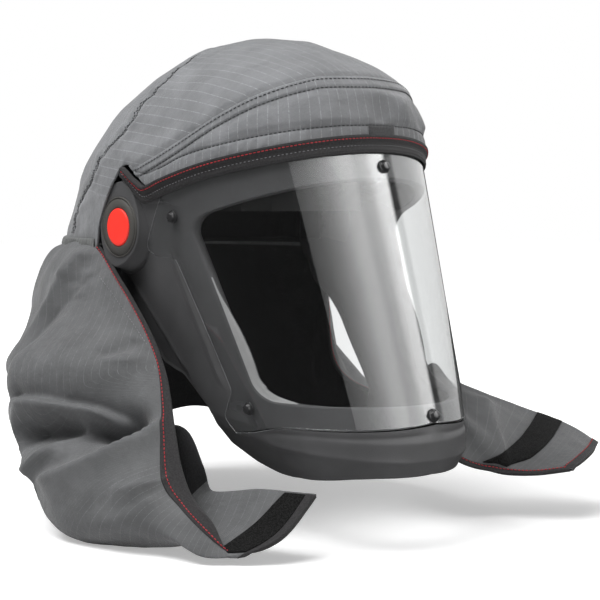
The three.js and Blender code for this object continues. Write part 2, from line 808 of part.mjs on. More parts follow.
// Hidden ring that carries the frame at its pivots
function bandGeometry() {
  const centre = (BAND.front + BAND.back) / 2;
  const length = (BAND.back - BAND.front) / 2;
  const ring = (angle, z, grow) => {
    const aside = Math.abs(Math.sin(angle)) / BAND.half;
    const ahead = Math.abs(Math.cos(angle)) / length;
    const r = 1 / (aside ** BAND.square + ahead ** BAND.square) ** (1 / BAND.square) + grow;
    return new THREE.Vector3(r * Math.sin(angle), centre - r * Math.cos(angle), z);
  };
  const columns = 28;
  const height = (j) => (j === 0 ? BAND.low : BAND.high);
  const loop = wall({
    columns,
    rows: 1,
    outer: (i, j) => ring((2 * Math.PI * i) / columns, height(j), BAND.wall),
    inner: (i, j) => ring((2 * Math.PI * i) / columns, height(j), 0),
    wrap: true,
  });
  const pieces = [loop];
  for (const side of [-1, 1]) {
    const plate = new THREE.BoxGeometry(BAND.wall, 2 * LUG.half, LUG.high - LUG.low);
    plate.translate(side * (BAND.half + BAND.wall / 2), 0, (LUG.high + LUG.low) / 2);
    const length = LUG.reach - BAND.half - 0.5;
    const pin = new THREE.CylinderGeometry(LUG.pin, LUG.pin, length, 20);
    pin.rotateZ(RIGHT_ANGLE);
    pin.translate(side * (LUG.reach - length / 2), 0, 0);
    pieces.push(plate, pin);
  }
  return joined(pieces);
}

function part() {
  const group = new THREE.Group();
  const add = (name, geometry) => {
    const mesh = new THREE.Mesh(geometry, new THREE.MeshStandardMaterial());
    mesh.name = name;
    group.add(mesh);
  };
  add('crown_cover', crownGeometry());
  add('brow_panel', browGeometry());
  add('face_binding', bindingGeometry());
  add('label_tab', labelGeometry());
  add('neck_elastic', elasticGeometry());
  const lastColumn = (BIB_SECTIONS.length - 1) * BIB_GRID.perSection;
  const onEdge = { top: 0, bottom: 1, lift: STRIP_LIFT, thick: TAPE };
  const whole = { first: 0, last: lastColumn, top: 0, bottom: BIB_GRID.rows };
  add('bib', onBib({ ...whole, lift: -CLOTH, thick: CLOTH }));
  add('bib_binding_right', onBib({ first: 1, last: RIGHT_EDGE_END, ...onEdge }));
  add('bib_binding_left', onBib({ first: LEFT_EDGE_START, last: lastColumn, ...onEdge }));
  add('hook_strip', onBib({ ...HOOK, lift: -CLOTH - STRIP_LIFT - TAPE, thick: TAPE }));
  add('loop_strip', onBib({ ...LOOP, lift: STRIP_LIFT, thick: TAPE }));
  const boss = bossGeometry();
  add('visor_frame', joined([frameGeometry(), toSide(boss, -1), toSide(boss, 1)]));
  add('visor_lens', lensGeometry());
  for (const { name, angle, at } of STUDS) {
    const foot = lifted(visor, angle * DEG, at, LENS_LIFT + LENS_WALL + GAP, -1);
    const head = lifted(visor, angle * DEG, at, LENS_WALL + 10, -1);
    const turn = new THREE.Quaternion();
    turn.setFromUnitVectors(new THREE.Vector3(1, 0, 0), head.sub(foot).normalize());
    const stud = studGeometry();
    stud.applyQuaternion(turn);
    stud.translate(foot.x, foot.y, foot.z);
    add(name, stud);
  }
  const disc = discGeometry().translate(GAP, 0, 0);
  const cap = capGeometry().translate(2 * GAP + DISC.thick - DISC.dish, 0, 0);
  for (const [word, side] of [['right', -1], ['left', 1]]) {
    add(`pivot_disc_${word}`, toSide(disc, side));
    add(`pivot_cap_${word}`, toSide(cap, side));
  }
  add('head_band', bandGeometry());
  return group;
}

export default part();
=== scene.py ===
"""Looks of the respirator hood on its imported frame. The tables hold millimetres and degrees."""

import math

import bmesh
import bpy
import numpy as np
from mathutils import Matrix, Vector

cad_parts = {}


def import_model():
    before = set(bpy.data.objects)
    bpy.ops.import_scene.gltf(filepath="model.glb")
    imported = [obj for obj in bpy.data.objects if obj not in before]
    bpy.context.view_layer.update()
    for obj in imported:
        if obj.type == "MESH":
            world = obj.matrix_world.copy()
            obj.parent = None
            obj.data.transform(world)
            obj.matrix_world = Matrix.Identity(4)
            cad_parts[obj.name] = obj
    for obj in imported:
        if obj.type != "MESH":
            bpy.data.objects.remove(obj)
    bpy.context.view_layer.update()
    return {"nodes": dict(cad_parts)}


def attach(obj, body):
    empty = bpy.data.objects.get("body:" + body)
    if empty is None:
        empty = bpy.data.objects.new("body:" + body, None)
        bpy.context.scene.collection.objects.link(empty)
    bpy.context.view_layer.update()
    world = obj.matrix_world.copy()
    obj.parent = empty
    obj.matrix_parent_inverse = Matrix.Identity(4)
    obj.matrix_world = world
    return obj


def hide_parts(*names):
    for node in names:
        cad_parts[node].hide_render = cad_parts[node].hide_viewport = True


MM = 0.001
DEG = math.pi / 180


def table(columns, *rows):
    """A table of numbers: one array for each named column."""
    return {name: np.array([row[i] for row in rows], float) for i, name in enumerate(columns.split())}


def fold(height, widths, *line, sharp=False):
    """A fold along a line of places, with its widths to the left and to the right of the line."""
    return {"height": height, "widths": widths, "line": np.array(line, float), "sharp": sharp}


SIDES = {"right": -1, "left": 1}

# Columns and rows of the grids of points
GRIDS = {
    "crown": (336, 96), "brow": (360, 56), "binding": (300, 26), "elastic": (560, 14), "label": (24, 12),
    "bib": (420, 84), "edge": (300, 32), "end": (8, 130), "strip": (24, 60),
}
LENS_GRID = {"half": 84, "arm": 24, "rows": 80, "rounds": 12}
FRAME_SIDE = 110

# Walls
CLOTH = 1.6
FRAME_DROP = 0.6
LENS_WALL = 1.0
LENS_LIFT = 0.2
STUD_LIFT = 1.6

# Visor: a ruled surface between the upper and the lower row of lens studs
UPPER_ROW = {"half": 107, "depth": 104.2, "y": -62.8, "z": 8.4, "rise": 35.4}
LOWER_ROW = {"half": 86.6, "depth": 93.2, "y": -123.7, "z": -126, "rise": -4.1}
ARM_RADIUS = 100
ARM_DEGREE = ARM_RADIUS * DEG
VISOR_TALL = 150
ARM_TOE_IN = 0.1
CHIN_START = 1.1
CHIN_CREASE = 1.18
CHIN_PULL = 0.04
CHIN_TUCK = 1.35

# Window in the frame: half angle, top and bottom place, share of each side that its corners round
WINDOW = {"angle": 84, "top": 0.045, "bottom": 0.952, "side_round": 0.2, "level_round": 0.13}

# Outlines on the visor, by angle from the front or by place down the visor
FRAME_TOP = table(
    "angle at", (0, -0.09), (60, -0.11), (102, -0.13), (109, -0.21), (114, -0.31), (150, -0.34),
)
FRAME_BOTTOM = table(
    "angle at", (0, 1.24), (30, 1.253), (45, 1.27), (55, 1.29), (65, 1.312), (75, 1.335), (85, 1.357),
    (95, 1.387), (105, 1.405), (115, 1.4), (127, 1.32),
)
FRAME_REAR = table(
    "at angle", (-0.4, 117), (-0.25, 126), (-0.1, 133), (0.05, 138.5), (0.18, 141), (0.44, 137),
    (0.86, 131), (0.98, 126.5), (1.1, 123), (1.2, 124.4), (1.34, 127),
)
# Ridge along the rear of each arm, and how far the right arm's return reaches beyond it
ARM_RIDGE = table("at angle", (0.05, 141), (0.17, 140), (0.443, 135.2), (0.652, 131.3), (0.88, 127))
ARM_RETURN = table(
    "at more", (-0.4, 0), (0, 0), (0.16, 6), (0.44, 9), (0.65, 10), (0.78, 10), (0.84, 5), (0.875, 0),
    (1.4, 0),
)
RETURN_SLOPE = 0.6
# How much the left arm is narrower than the right one
ARM_TRIM = table(
    "at less", (-0.4, 0), (0.25, 0), (0.42, 4), (0.6, 6), (0.85, 6), (1.0, 3), (1.15, 0), (1.4, 0),
)
# Lines moulded in the frame, as angle and place, and how large a degree and the visor count for them
FRAME_MARKS = (
    fold(1.7, (1.2, 3.4), (101, 0.13), (102.4, 0.34), (103, 0.5), (103.6, 0.7), (104.6, 0.92), sharp=True),
    fold(-1.4, (2.6, 1.6), (99.6, 0.13), (100.4, 0.34), (100.8, 0.5), (101, 0.7), (101.4, 0.92),
         sharp=True),
    fold(1, (1.5, 2.5), (140, 0.17), (135.2, 0.443), (131.3, 0.652), (126.5, 0.88), sharp=True),
    fold(1, (3, 2), (96, 1.19), (70, 1.178), (49, 1.175), (22, 1.181), (12, 1.19), sharp=True),
    fold(-1.3, (1.8, 1.8), (99, 1.15), (80, 1.11), (60, 1.092), (22, 1.078), (0, 1.066), sharp=True),
)
MARK_SCALE = (1.8, VISOR_TALL)
MARK_TIP = 0.12
MARK_BLUNT = 0.447
# Section of the frame's wall, from its outer edge round to its back: share to the window, depth and lean
FRAME_EDGE = [(0, 2.9, 0), (0, 1.9, 0), (0.004, 1.1, 0), (0.013, 0.72, 0)]
FRAME_FACE = [(share, FRAME_DROP, 0) for share in np.linspace(0.03, 0.97, 45)]
FRAME_WINDOW = [
    (0.983, 0.72, 0), (0.994, 1.1, 0), (1, 1.9, 0), (1, 2.6, 0.5), (1, 3.2, 1), (1, 4.2, 1),
    (0.999, 8.4, 0), (0.985, 8.7, 0), (0.965, 8.4, 0), (0.95, 4.5, 0), (0.94, 3.3, 0),
]
FRAME_BACK = [(share, 3.2, 0) for share in (0.8, 0.6, 0.4, 0.2, 0.02)]
FRAME_RINGS = FRAME_EDGE + FRAME_FACE + FRAME_WINDOW + FRAME_BACK
# Lean of the window's inner lip by distance in mm from the lower corners, up the side and along the bottom
LIP_UP = table("far lean", (0, 9), (22, 10), (45, 8), (66, 4), (84, 0.5), (110, 0))
LIP_ALONG = table("far lean", (0, 9), (14, 6), (30, 2), (42, 0), (60, 0))
FRAME_CORNERS = {"top_angle": 122, "top_at": -0.32, "bottom_angle": 127, "bottom_at": 1.32}
LENS_TOP = table("angle at", (0, -0.075), (50, -0.09), (90, -0.125), (120, -0.1))
LENS_BOTTOM = table("angle at", (0, 1.036), (22, 1.05), (60, 1.066), (76, 1.08), (97, 1.145), (112, 1.19))
LENS_REAR = table(
    "at angle", (-0.13, 92), (-0.04, 104.5), (0.08, 116), (0.14, 112), (0.2, 100), (0.5, 98.7),
    (0.9, 98), (1.02, 106), (1.1, 111), (1.19, 107),
)
STUDS = {
    "stud_top": (0, 0), "stud_bottom": (0, 1), "stud_upper_right": (-90, 0),
    "stud_upper_left": (90, 0), "stud_lower_right": (-90, 1), "stud_lower_left": (90, 1),
}
STUD_PROFILE = (
    (0, 0), (4.9, 0), (4.9, 0.5), (4.4, 0.9), (3.6, 1.0), (3.5, 2.7), (3.2, 3.3), (2.4, 3.7), (0, 3.8),
)

# Face binding: lower and upper edge on the visor, front first
BINDING = table(
    "step low_angle low_at high_angle high_at",
    (0, 0, -0.055, 0, -0.122),
    (1, 17, -0.057, 17, -0.125),
    (2, 34, -0.062, 34, -0.131),
    (3, 50, -0.073, 50, -0.144),
    (4, 68, -0.093, 68, -0.167),
    (5, 87, -0.112, 86, -0.19),
    (6, 104.5, -0.14, 98.5, -0.213),
    (7, 109, -0.25, 103.5, -0.28),
    (8, 113, -0.362, 107.5, -0.377),
)
BINDING_LIFT = 2
BINDING_RELIEF = {"thin": 0.45, "bead": 0.9, "flat": 1.3, "welt": 3.2, "groove": 0.3}
# Stitch lines on the binding, as shares across it; the red one lies in a groove
BINDING_RED = 0.8
BINDING_PALE = 0.42

# Pivot boss, disc and cap on each side
BOSS = {"inner": 97.5, "outer": 110.5, "skirt": 6, "round": 1.3}
BOSS_OUTLINE = (
    (-1, 34), (8, 32), (15.5, 26), (21, 17), (23.8, 7), (23.8, -5), (20, -14.5), (13.5, -21.5), (4, -27.5),
    (-7, -30), (-15.5, -26.5), (-21.5, -19), (-25.3, -8), (-26, 4), (-23, 16), (-17.5, 25.5), (-10, 31.5),
)
DISC_PROFILE = (
    (0, -1), (22.7, -1), (22.7, 0.5), (22.3, 0.95), (21.8, 0.95), (21.4, 0.5), (21.3, 0), (21.0, 0.1),
    (20.9, 0.8), (20.8, 1.1), (15.0, 1.15), (14.6, 1.0), (14.3, 0.4), (0, 0.4),
)
CAP_PROFILE = ((0, -1), (14, -1), (14, 0.9), (13.6, 1.5), (12.7, 1.8), (7.4, 2.1), (0, 2.2))
DISC_LIFT = 0.2
CAP_LIFT = 0.4
PIVOT_TURN = 1 * DEG

# Crown cloth: level sections from the apex down, its lower edge and the brow seam
APEX = {"y": -28, "z": 141.5}
CROWN_LEVELS = table(
    "z half front back square",
    (141.5, 0, 0, 0, 2),
    (138.5, 24, 34, 31, 2),
    (134, 41, 59, 43, 2),
    (123, 63, 93, 53, 2.1),
    (110, 81, 119, 69, 2.25),
    (97, 93, 132, 91, 2.3),
    (79, 103, 137, 117, 2.3),
    (56, 110, 138.5, 140, 2.35),
    (33, 112, 138.5, 156, 2.45),
    (-22, 112, 138.5, 185, 2.55),
)
CROWN_LEVELS["drop"] = np.sqrt(APEX["z"] - CROWN_LEVELS["z"])
CROWN_EDGE = table(
    "angle z", (0, 64.9), (14, 63.7), (28, 59.9), (42, 54.5), (57.6, 47), (74, 37.4), (85.5, 31),
    (92, 37.8), (99, 46.5), (102.5, 44), (105.5, 36.5), (108, 30), (111.6, 19), (116.4, 1), (119, -16.5),
    (180, -16.5),
)
BROW_SEAM = table(
    "angle z", (0, 108), (18, 106.5), (25.5, 103.3), (40, 93.2), (53, 80.3), (70, 61), (85, 48.5),
    (94, 43.5), (99, 46.5),
)
BROW_HEM = table(
    "angle z", (0, 73.4), (11, 73), (27, 69.7), (40, 64.9), (52, 59.7), (67, 52), (82, 42), (92, 41),
)
BROW_END = 97
WELT = 7
BACK_SEAM = table(
    "z angle", (-16, 136), (-3.5, 135.3), (8.4, 134), (21, 131), (29, 126.5), (38, 121), (49, 119.5),
    (58, 113.5), (71, 105), (82.6, 102.2), (92, 102.6), (101, 98.5), (121.3, 96), (134, 104), (139.5, 120),
)
BACK_SEAM_PAIR = 3.6
BACK_DEGREE = 2.2
ELASTIC = {"start": 119.6, "low": -19.5, "high": -9.4, "lift": 0.8, "swell": 1.1, "ruffle": 0.55}
LABEL = {"half": 5.2, "low": 65, "high": 73, "lift": 0.5, "thick": 1.2}
# Relief of the crown along the brow seam and the back seams, and its soft slanted folds
BROW_SEAM_RELIEF = {"rise": 1.5, "sink": 0.2, "pucker": 0.35, "reach": 7}
BACK_SEAM_RELIEF = {"groove": (0.8, 2.4), "swell": (0.9, 3.5), "swell_off": 6, "pucker": (0.7, 11)}
CROWN_FOLDS = {"height": 0.56, "steep": 3, "size": 36, "seed": 17, "patch_size": 60, "patch_seed": 18}
CROWN_SLANT = np.array([[1.0, 0, 0], [0, 0.55, 0.35], [0, -0.35, 1.0]])
# Relief of the brow panel: welt, padded middle, grooves at the stitch lines and puckers below them
BROW_RELIEF = {
    "welt": 0.9, "belly": 1.6, "groove": 0.7, "groove_width": 0.9, "pucker": 0.34, "dents": (2.1, 1.0),
}
STITCH_LIFT = 0.25
# Unevenness of the cloths: height, size and seed of each layer of noise
CROWN_DENTS = ((2.4, 46, 3), (1.1, 19, 5))
BIB_DENTS = ((0.7, 22, 21), (1.1, 55, 22), (0.35, 9, 23))
# Stripes: radius at which they run round each cloth, and the tilt and height of the crown's axis
STRIPES = {"crown": 105, "back": 135, "brow": 120, "bib": 150, "tilt": 8, "z": 15}

# Bib: one row per section of the band, from the end of the right flap round the back to the left flap
BIB_SECTIONS = (
    ((-132, -153, -221), (-127, -161, -219.5), (-108, -178, -208), (-78, -183, -181)),
    ((-136, -142, -201), (-148, -142, -219), (-111, -144, -206), (-92, -142, -181)),
    ((-136, -118, -185), (-158, -112, -206), (-141, -103, -221), (-104, -100, -186)),
    ((-135, -104, -166), (-168, -76, -196), (-156, -50, -222), (-110, -99, -167)),
    ((-131, -92, -144), (-167, -46, -161), (-172, 2, -204), (-114, -82, -142)),
    ((-121, -68, -104), (-157, -3, -124), (-173, 50, -170), (-132, 24, -172)),
    ((-116, -43, -76), (-144, 23, -95), (-161, 80, -137), (-130, 102, -170)),
    ((-112, -2, -40), (-128, 50, -72), (-143, 96, -124), (-108, 140, -172)),
    ((-106, 38, -13), (-121, 74, -60), (-130, 117, -118), (-88, 158, -173)),
    ((-87, 99, -13), (-98, 124, -62), (-95, 149, -120), (-60, 170, -175)),
    ((-46, 143, -13), (-50, 157, -62), (-48, 171, -120), (-30, 178, -176)),
    ((0, 153, -13), (0, 165, -62), (0, 177, -120), (0, 180, -177)),
    ((46, 143, -13), (50, 156, -62), (50, 169, -120), (38, 174, -176)),
    ((87, 99, -13), (98, 122, -60), (101, 141, -113), (82, 155, -167)),
    ((106, 38, -13), (122, 67, -58), (136, 95, -113), (130, 102, -182)),
    ((111, 15, -34), (133, 40, -66), (151, 55, -110), (152, 42, -174)),
    ((120, 8, -121), (133, -2, -135), (147, -22, -141), (160, -40, -141)),
    ((104, -115, -150), (118, -100, -132), (134, -90, -120), (148, -82, -114)),
    ((90, -158, -177), (104, -153, -158), (119, -139, -141), (135, -120, -126)),
    ((115, -170, -188), (140, -172, -172), (165, -167, -160), (190, -158, -152)),
    ((132, -196, -189), (157, -197, -178), (182, -191, -169), (205, -181, -163)),
    ((150, -222, -184), (172, -217, -180), (195, -208, -176), (215, -197, -173)),
)
LAST_SECTION = len(BIB_SECTIONS) - 1
BIB_FOLDS = (
    fold(6, (15, 15), (5, 0.5), (8.4, 0.64)),
    fold(-6, (14, 14), (4.6, 0.68), (8, 0.8)),
    fold(2, (12, 12), (7.2, 0.1), (6.4, 0.6)),
    fold(6, (14, 14), (10.2, 0.2), (9.6, 1)),
    fold(6, (14, 14), (13, 0.1), (14.6, 1)),
    fold(4, (11, 11), (17.4, 0.6), (19, 0.1)),
)
# Sharper folds, which fade at both ends of their lines of section and depth
CREASES = (
    fold(6, (26, 15), (7.2, 0.56), (6.2, 0.44), (5.5, 0.26), (5, 0.1)),
    fold(-13, (9, 3), (6.3, 0.66), (5.5, 0.46), (5.1, 0.37), (4.72, 0.23), (4.4, 0.1), sharp=True),
    fold(9, (3, 5), (5.62, 0.56), (5.3, 0.46), (4.97, 0.38), (4.58, 0.25), (4.3, 0.15), sharp=True),
    fold(-30, (9, 8), (5.25, 0.6), (4.95, 0.5), (4.68, 0.41), (4.44, 0.32), (4.32, 0.19), (4.4, 0.06)),
    fold(12, (2.5, 13), (4.34, 0.58), (4.2, 0.5), (4.07, 0.44), (3.93, 0.3), (4.08, 0.15),
         (4.38, -0.05), sharp=True),
    fold(9, (24, 22), (3.9, 0.8), (3.4, 0.52), (3.1, 0.32), (2.9, 0.08)),
    fold(12, (5, 8), (4.64, 0.31), (4.52, 0.41), (4.5, 0.5), (4.56, 0.62), sharp=True),
    fold(-3, (9, 7), (3.5, 0.46), (3.2, 0.36), (2.9, 0.28), (2.8, 0.1)),
    fold(3, (6, 9), (3.3, 0.3), (3.05, 0.16), (2.9, 0.03), sharp=True),
    fold(2, (5, 6), (8.25, 0.06), (8.05, 0.13), (7.9, 0.22), sharp=True),
    fold(-1.6, (7, 8), (7.8, 0.05), (7.65, 0.12), (7.5, 0.2)),
    fold(2, (6, 9), (7.55, 0.08), (7.4, 0.14), (7.2, 0.22)),
    fold(-3, (6, 6), (5.9, 0.04), (5.7, 0.12), (5.6, 0.2)),
    fold(2.5, (5, 6), (5.5, 0.03), (5.4, 0.1), (5.5, 0.2), sharp=True),
    fold(4, (7, 9), (12.9, 0.06), (13.1, 0.2), (13.5, 0.5), sharp=True),
    fold(2.5, (8, 10), (9.3, 0.08), (9.2, 0.2), (9.1, 0.4), sharp=True),
    fold(4, (9, 9), (11.2, 0.05), (11.3, 0.3), (11.1, 0.7), sharp=True),
    fold(-6, (12, 12), (15.6, 0.2), (15.2, 0.5), (14.8, 0.9)),
    fold(6, (9, 12), (16.6, 0.15), (16.4, 0.5), (16.2, 0.95), sharp=True),
    fold(6, (5, 13), (18.3, 0.95), (18.5, 0.5), (18.9, 0.2), (19.2, 0.05), sharp=True),
)
CREASE_TIP = 0.16
CREASE_BLUNT = 1
# Rough length in mm of one section and of the whole depth
BIB_SCALE = (46, 150)
GATHER = {"first": 7.4, "last": 14.6, "each": 1.9, "height": 2.6, "reach": 0.17}
PUFF = {"height": 11, "depth": 0.16}
# Columns of the right flap whose inner face keeps the cloth colour because light reaches it; the rest of
# the bib's inner face is painted shade
FLAP_COLUMNS = 50
# Tapes on the front edges: sections, width by section, roll over the edge and thickness
EDGES = {"right": (0.02, 7.85), "left": (15, 20.95)}
EDGE_WIDTH = table(
    "section depth", (0, 0.1), (2.4, 0.1), (3.6, 0.066), (4.5, 0.03), (5.4, 0.012), (8, 0.01), (15, 0.014),
    (16.5, 0.045), (21, 0.05),
)
EDGE_ROLL = 0.14
EDGE_TAPE = 0.7
# Stitches on them: first and last section and number of points, and share of the tape's width
EDGE_STITCHES = {"right": (0.04, 7.85, 900), "left": (15, 20.85, 700)}
EDGE_STITCH = 0.72
# Stitched seam behind the right front edge, as section and depth
BIB_SEAM = ((7.33, 0.07), (6.96, 0.063), (6.61, 0.055), (6.22, 0.04), (5.73, 0.023))
# Pile strips: sections of both sides by depth, first and last depth, and the face they are on
STRIPS = {
    "hook_strip": {
        "near": table("depth section", (0, 0.15), (1, 0.15)),
        "far": table(
            "depth section", (0, 0.95), (0.55, 0.88), (0.64, 0.84), (0.77, 0.74), (0.89, 0.63), (1, 0.53),
        ),
        "top": 0.45, "bottom": 0.985, "face": -1,
    },
    "loop_strip": {
        "near": table("depth section", (0, 18.6), (0.07, 18.66), (0.25, 18.95), (0.5, 19), (1, 18.96)),
        "far": table("depth section", (0, 19.27), (0.07, 19.33), (0.25, 19.62), (0.5, 19.66), (1, 19.6)),
        "top": 0.065, "bottom": 0.985, "face": 1,
    },
}
STRIP_GAP = 0.2
STRIP_THICK = 1.6
# Tapes over the free ends: free end, where they stop, first depth, and their reach past the cloth
ENDS = {"right": (0.001, 0.15, 0.36), "left": (20.999, 20.75, 0.015)}
END_BOTTOM = 0.99
END_PAST = 0.6
END_STITCH = ((20.8, 0.02), (20.76, 0.3), (20.76, 0.6), (20.78, 0.97))

# Thread: length of a stitch, gap to the next and width
STITCHES = {
    "red_stitching": {"length": 2.2, "gap": 0.7, "width": 0.75},
    "pale_stitching": {"length": 1.6, "gap": 1.4, "width": 0.5},
    "dark_stitching": {"length": 2.4, "gap": 0.9, "width": 0.7},
}

# Looks
CLOTHS = {
    "hood_cloth": {"colour": (0.16, 0.164, 0.171), "stripe": 0.46, "spacing": 6.6},
    "bib_cloth": {"colour": (0.1, 0.102, 0.105), "stripe": 0.36, "spacing": 7.2},
    "elastic_cloth": {"colour": (0.12, 0.124, 0.122), "stripe": 0.3, "spacing": 6.6},
}
TAPES = {
    # Inner faces of the cloths: near black, a painted shade for the dark inside of the hood
    "inner_cloth": {"colour": (0.012, 0.012, 0.013), "ribs": 400, "roughness": 0.95},
    "binding_tape": {"colour": (0.026, 0.025, 0.026), "ribs": 700, "roughness": 0.8},
    "label_cloth": {"colour": (0.05, 0.05, 0.052), "ribs": 900, "roughness": 0.8},
    "red_thread": {"colour": (0.45, 0.02, 0.03), "ribs": 1500, "roughness": 0.6},
    "grey_thread": {"colour": (0.035, 0.036, 0.038), "ribs": 1500, "roughness": 0.7},
    "pale_thread": {"colour": (0.2, 0.2, 0.21), "ribs": 1500, "roughness": 0.7},
}
PLASTICS = {
    "frame_plastic": {
        "colour": (0.064, 0.064, 0.066), "roughness": 0.5, "grain": 1500, "depth": 0.0004,
        "Specular_IOR_Level": 0.3,
    },
    "lip_plastic": {"colour": (0.28, 0.28, 0.28), "roughness": 0.6, "grain": 900, "depth": 0.001},
    "disc_plastic": {"colour": (0.058, 0.056, 0.052), "roughness": 0.45, "grain": 1800, "depth": 0.0003},
    "cap_plastic": {"colour": (0.95, 0.032, 0.02), "roughness": 0.4, "grain": 1500, "depth": 0.0002},
    "stud_plastic": {"colour": (0.025, 0.025, 0.026), "roughness": 0.22, "grain": 1500, "depth": 0.0001},
    # Head band inside the hood: near black, painted shade of the dark interior
    "band_plastic": {"colour": (0.007, 0.007, 0.007), "roughness": 0.7, "grain": 1500, "depth": 0.0004},
    # Rims of the clear film: light grey, a painted highlight for the bright line along the film's edges
    "film_edge": {"colour": (0.4, 0.41, 0.42), "roughness": 0.3, "grain": 1500, "depth": 0.0001},
}
PILE_COLOUR = (0.009, 0.009, 0.009)
FILM_COLOUR = (0.86, 0.87, 0.87)
# Cloth coordinates in one millimetre
CLOTH_UNIT = 0.01

# Camera as the photograph was taken
CAMERA = {"azimuth": -42, "elevation": 3.8, "distance": 1200, "aim": (0, -79.1, -55.7), "lens": 94.7}
SENSOR = 36
FLOOR_Z = -226
FLOOR_HALF = 6
# Floor's glow to the camera by distance from the hood: painted light, lowest under the hood, that lightens
# its shadow
FLOOR_GLOW = {"near": 0.2, "far": 1.5, "low": 0.38, "high": 0.9}
# Brightness of the world as seen, in reflections and as light on matt surfaces
WORLD = {"seen": 1.0, "mirrored": 0.06, "light": 0.2}
# Lights: azimuth, elevation and distance in metres, size, power, and whether reflections show them
LIGHTS = {
    "top": {"place": (-95, 66, 1.7), "size": (1.6, 1.4), "power": 28, "shown": True},
    "near_left": {"place": (-95, 58, 1.9), "size": (1.2, 1.2), "power": 27, "shown": False},
}
LIGHT_AIM = (0, -0.06, -0.03)

# Glossy card beside the camera that the lens mirrors: its glow by azimuth, reach in metres and edges
CARD = table(
    "azimuth glow", (-37, 1.0), (-24, 1.5), (-8, 2.6), (4, 4.0), (12, 4.1), (19, 2.9), (28, 3.0), (37, 4.6),
    (47, 4.8), (51, 0.2), (56, 0.2), (60, 1.2), (90, 1.2), (118, 1.0),
)
CARD_REACH = 2.4
CARD_FOOT = 0.75
CARD_TOP = ((-37, -10, 10, 30), (0.6, 1.4, 1.8, 2.6))
CARD_COLUMNS = 187
CARD_LOW = -3
CARD_HIGH = 46


# Curves and surfaces
def lookup(rows, key, place, column):
    """Value of a table's column at a place, by a smooth curve through its rows."""
    x, y = rows[key], rows[column]
    if x[0] > x[-1]:
        x, y = x[::-1], y[::-1]
    place = np.clip(place, x[0], x[-1])
    slope = np.diff(y) / np.diff(x)
    both = slope[:-1] * slope[1:]
    total = np.where(both > 0, slope[:-1] + slope[1:], 1)
    tangent = np.concatenate([slope[:1], np.where(both > 0, 2 * both / total, 0), slope[-1:]])
    i = np.clip(np.searchsorted(x, place) - 1, 0, len(x) - 2)
    span = x[i + 1] - x[i]
    f = (place - x[i]) / span
    rise = (3 - 2 * f) * f * f
    bend = tangent[i] * f * (1 - f) ** 2 - tangent[i + 1] * f * f * (1 - f)
    return y[i] * (1 - rise) + y[i + 1] * rise + span * bend


def smooth(place, low, high):
    """0 below low and 1 above high, with a smooth step between."""
    f = np.clip((place - low) / (high - low), 0, 1)
    return f * f * (3 - 2 * f)


def bell(distance, width):
    """1 at no distance, falling smoothly to 0 over about two widths."""
    return np.exp(-((distance / width) ** 2))


def unit(vectors):
    return vectors / np.maximum(np.linalg.norm(vectors, axis=-1, keepdims=True), 1e-12)


def normals(surface, u, v, side):
    """Normals of a surface; side is 1 or -1, so that they point out of the hood."""
    step = 1e-3
    across = surface(u + step, v) - surface(u - step, v)
    down = surface(u, v + step) - surface(u, v - step)
    return unit(np.cross(across, down)) * side


def lifted(surface, u, v, distance, side):
    """Points of a surface moved out along its normals."""
    u, v, distance = np.broadcast_arrays(np.asarray(u, float), v, distance)
    return surface(u, v) + normals(surface, u, v, side) * distance[..., None]


def lattice(cells, seed):
    """A repeatable number from 0 to 1 for each whole-number cell."""
    mixed = cells @ np.array([374761393, 668265263, 2147483647]) + seed * 974711
    mixed = (mixed ^ (mixed >> 13)) * 1274126177
    return ((mixed ^ (mixed >> 16)) & 0xFFFFFF) / 0xFFFFFF


def noise(points, size, seed):
    """Smooth noise from -1 to 1 at points, with lumps of about that size."""
    place = np.asarray(points, float) / size
    cell = np.floor(place).astype(np.int64)
    f = place - cell
    f = f * f * (3 - 2 * f)
    total = 0
    for corner in np.ndindex(2, 2, 2):
        share = np.prod(np.where(np.array(corner), f, 1 - f), axis=-1)
        total = total + share * lattice(cell + np.array(corner), seed)
    return 2 * total - 1


def dents(points, layers):
    """Sum of layers of noise, each with its height, size and seed."""
    return sum(height * noise(points, size, seed) for height, size, seed in layers)


def line_gap(x, y, line):
    """Distance of places from a line, their side of it (1 is left of its run) and the share along it."""
    best = np.full(np.shape(x), 1e9)
    side = np.ones(np.shape(x))
    place = np.zeros(np.shape(x))
    done = 0
    for start, end in zip(line[:-1], line[1:]):
        run = end - start
        off_x, off_y = x - start[0], y - start[1]
        share = np.clip((off_x * run[0] + off_y * run[1]) / (run @ run), 0, 1)
        gap = np.hypot(off_x - run[0] * share, off_y - run[1] * share)
        closer = gap < best
        best = np.where(closer, gap, best)
        side = np.where(closer, np.sign(run[0] * off_y - run[1] * off_x), side)
        place = np.where(closer, done + share * np.linalg.norm(run), place)
        done += np.linalg.norm(run)
    return best, side, place / done


def line_distance(points, line):
    """Distance in space from each point to the nearest of a close row of points."""
    flat = np.asarray(points, float).reshape(-1, 3)
    parts = np.array_split(flat, 40)
    found = [np.min(np.linalg.norm(part[:, None] - line[None], axis=-1), axis=1) for part in parts]
    return np.concatenate(found).reshape(np.shape(points)[:-1])


def through(p0, p1, p2, p3, f):
    """Centripetal curve from p1 to p2 by the share f, with the points before and after them."""
    d0, d1, d2 = (
        np.maximum(np.linalg.norm(b - a, axis=-1, keepdims=True) ** 0.5, 1e-4)
        for a, b in ((p0, p1), (p1, p2), (p2, p3))
    )
    t1 = ((p1 - p0) / d0 - (p2 - p0) / (d0 + d1) + (p2 - p1) / d1) * d1
    t2 = ((p2 - p1) / d1 - (p3 - p1) / (d1 + d2) + (p3 - p2) / d2) * d1
    return p1 + f * t1 + f * f * (3 * (p2 - p1) - 2 * t1 - t2) + f ** 3 * (2 * (p1 - p2) + t1 + t2)


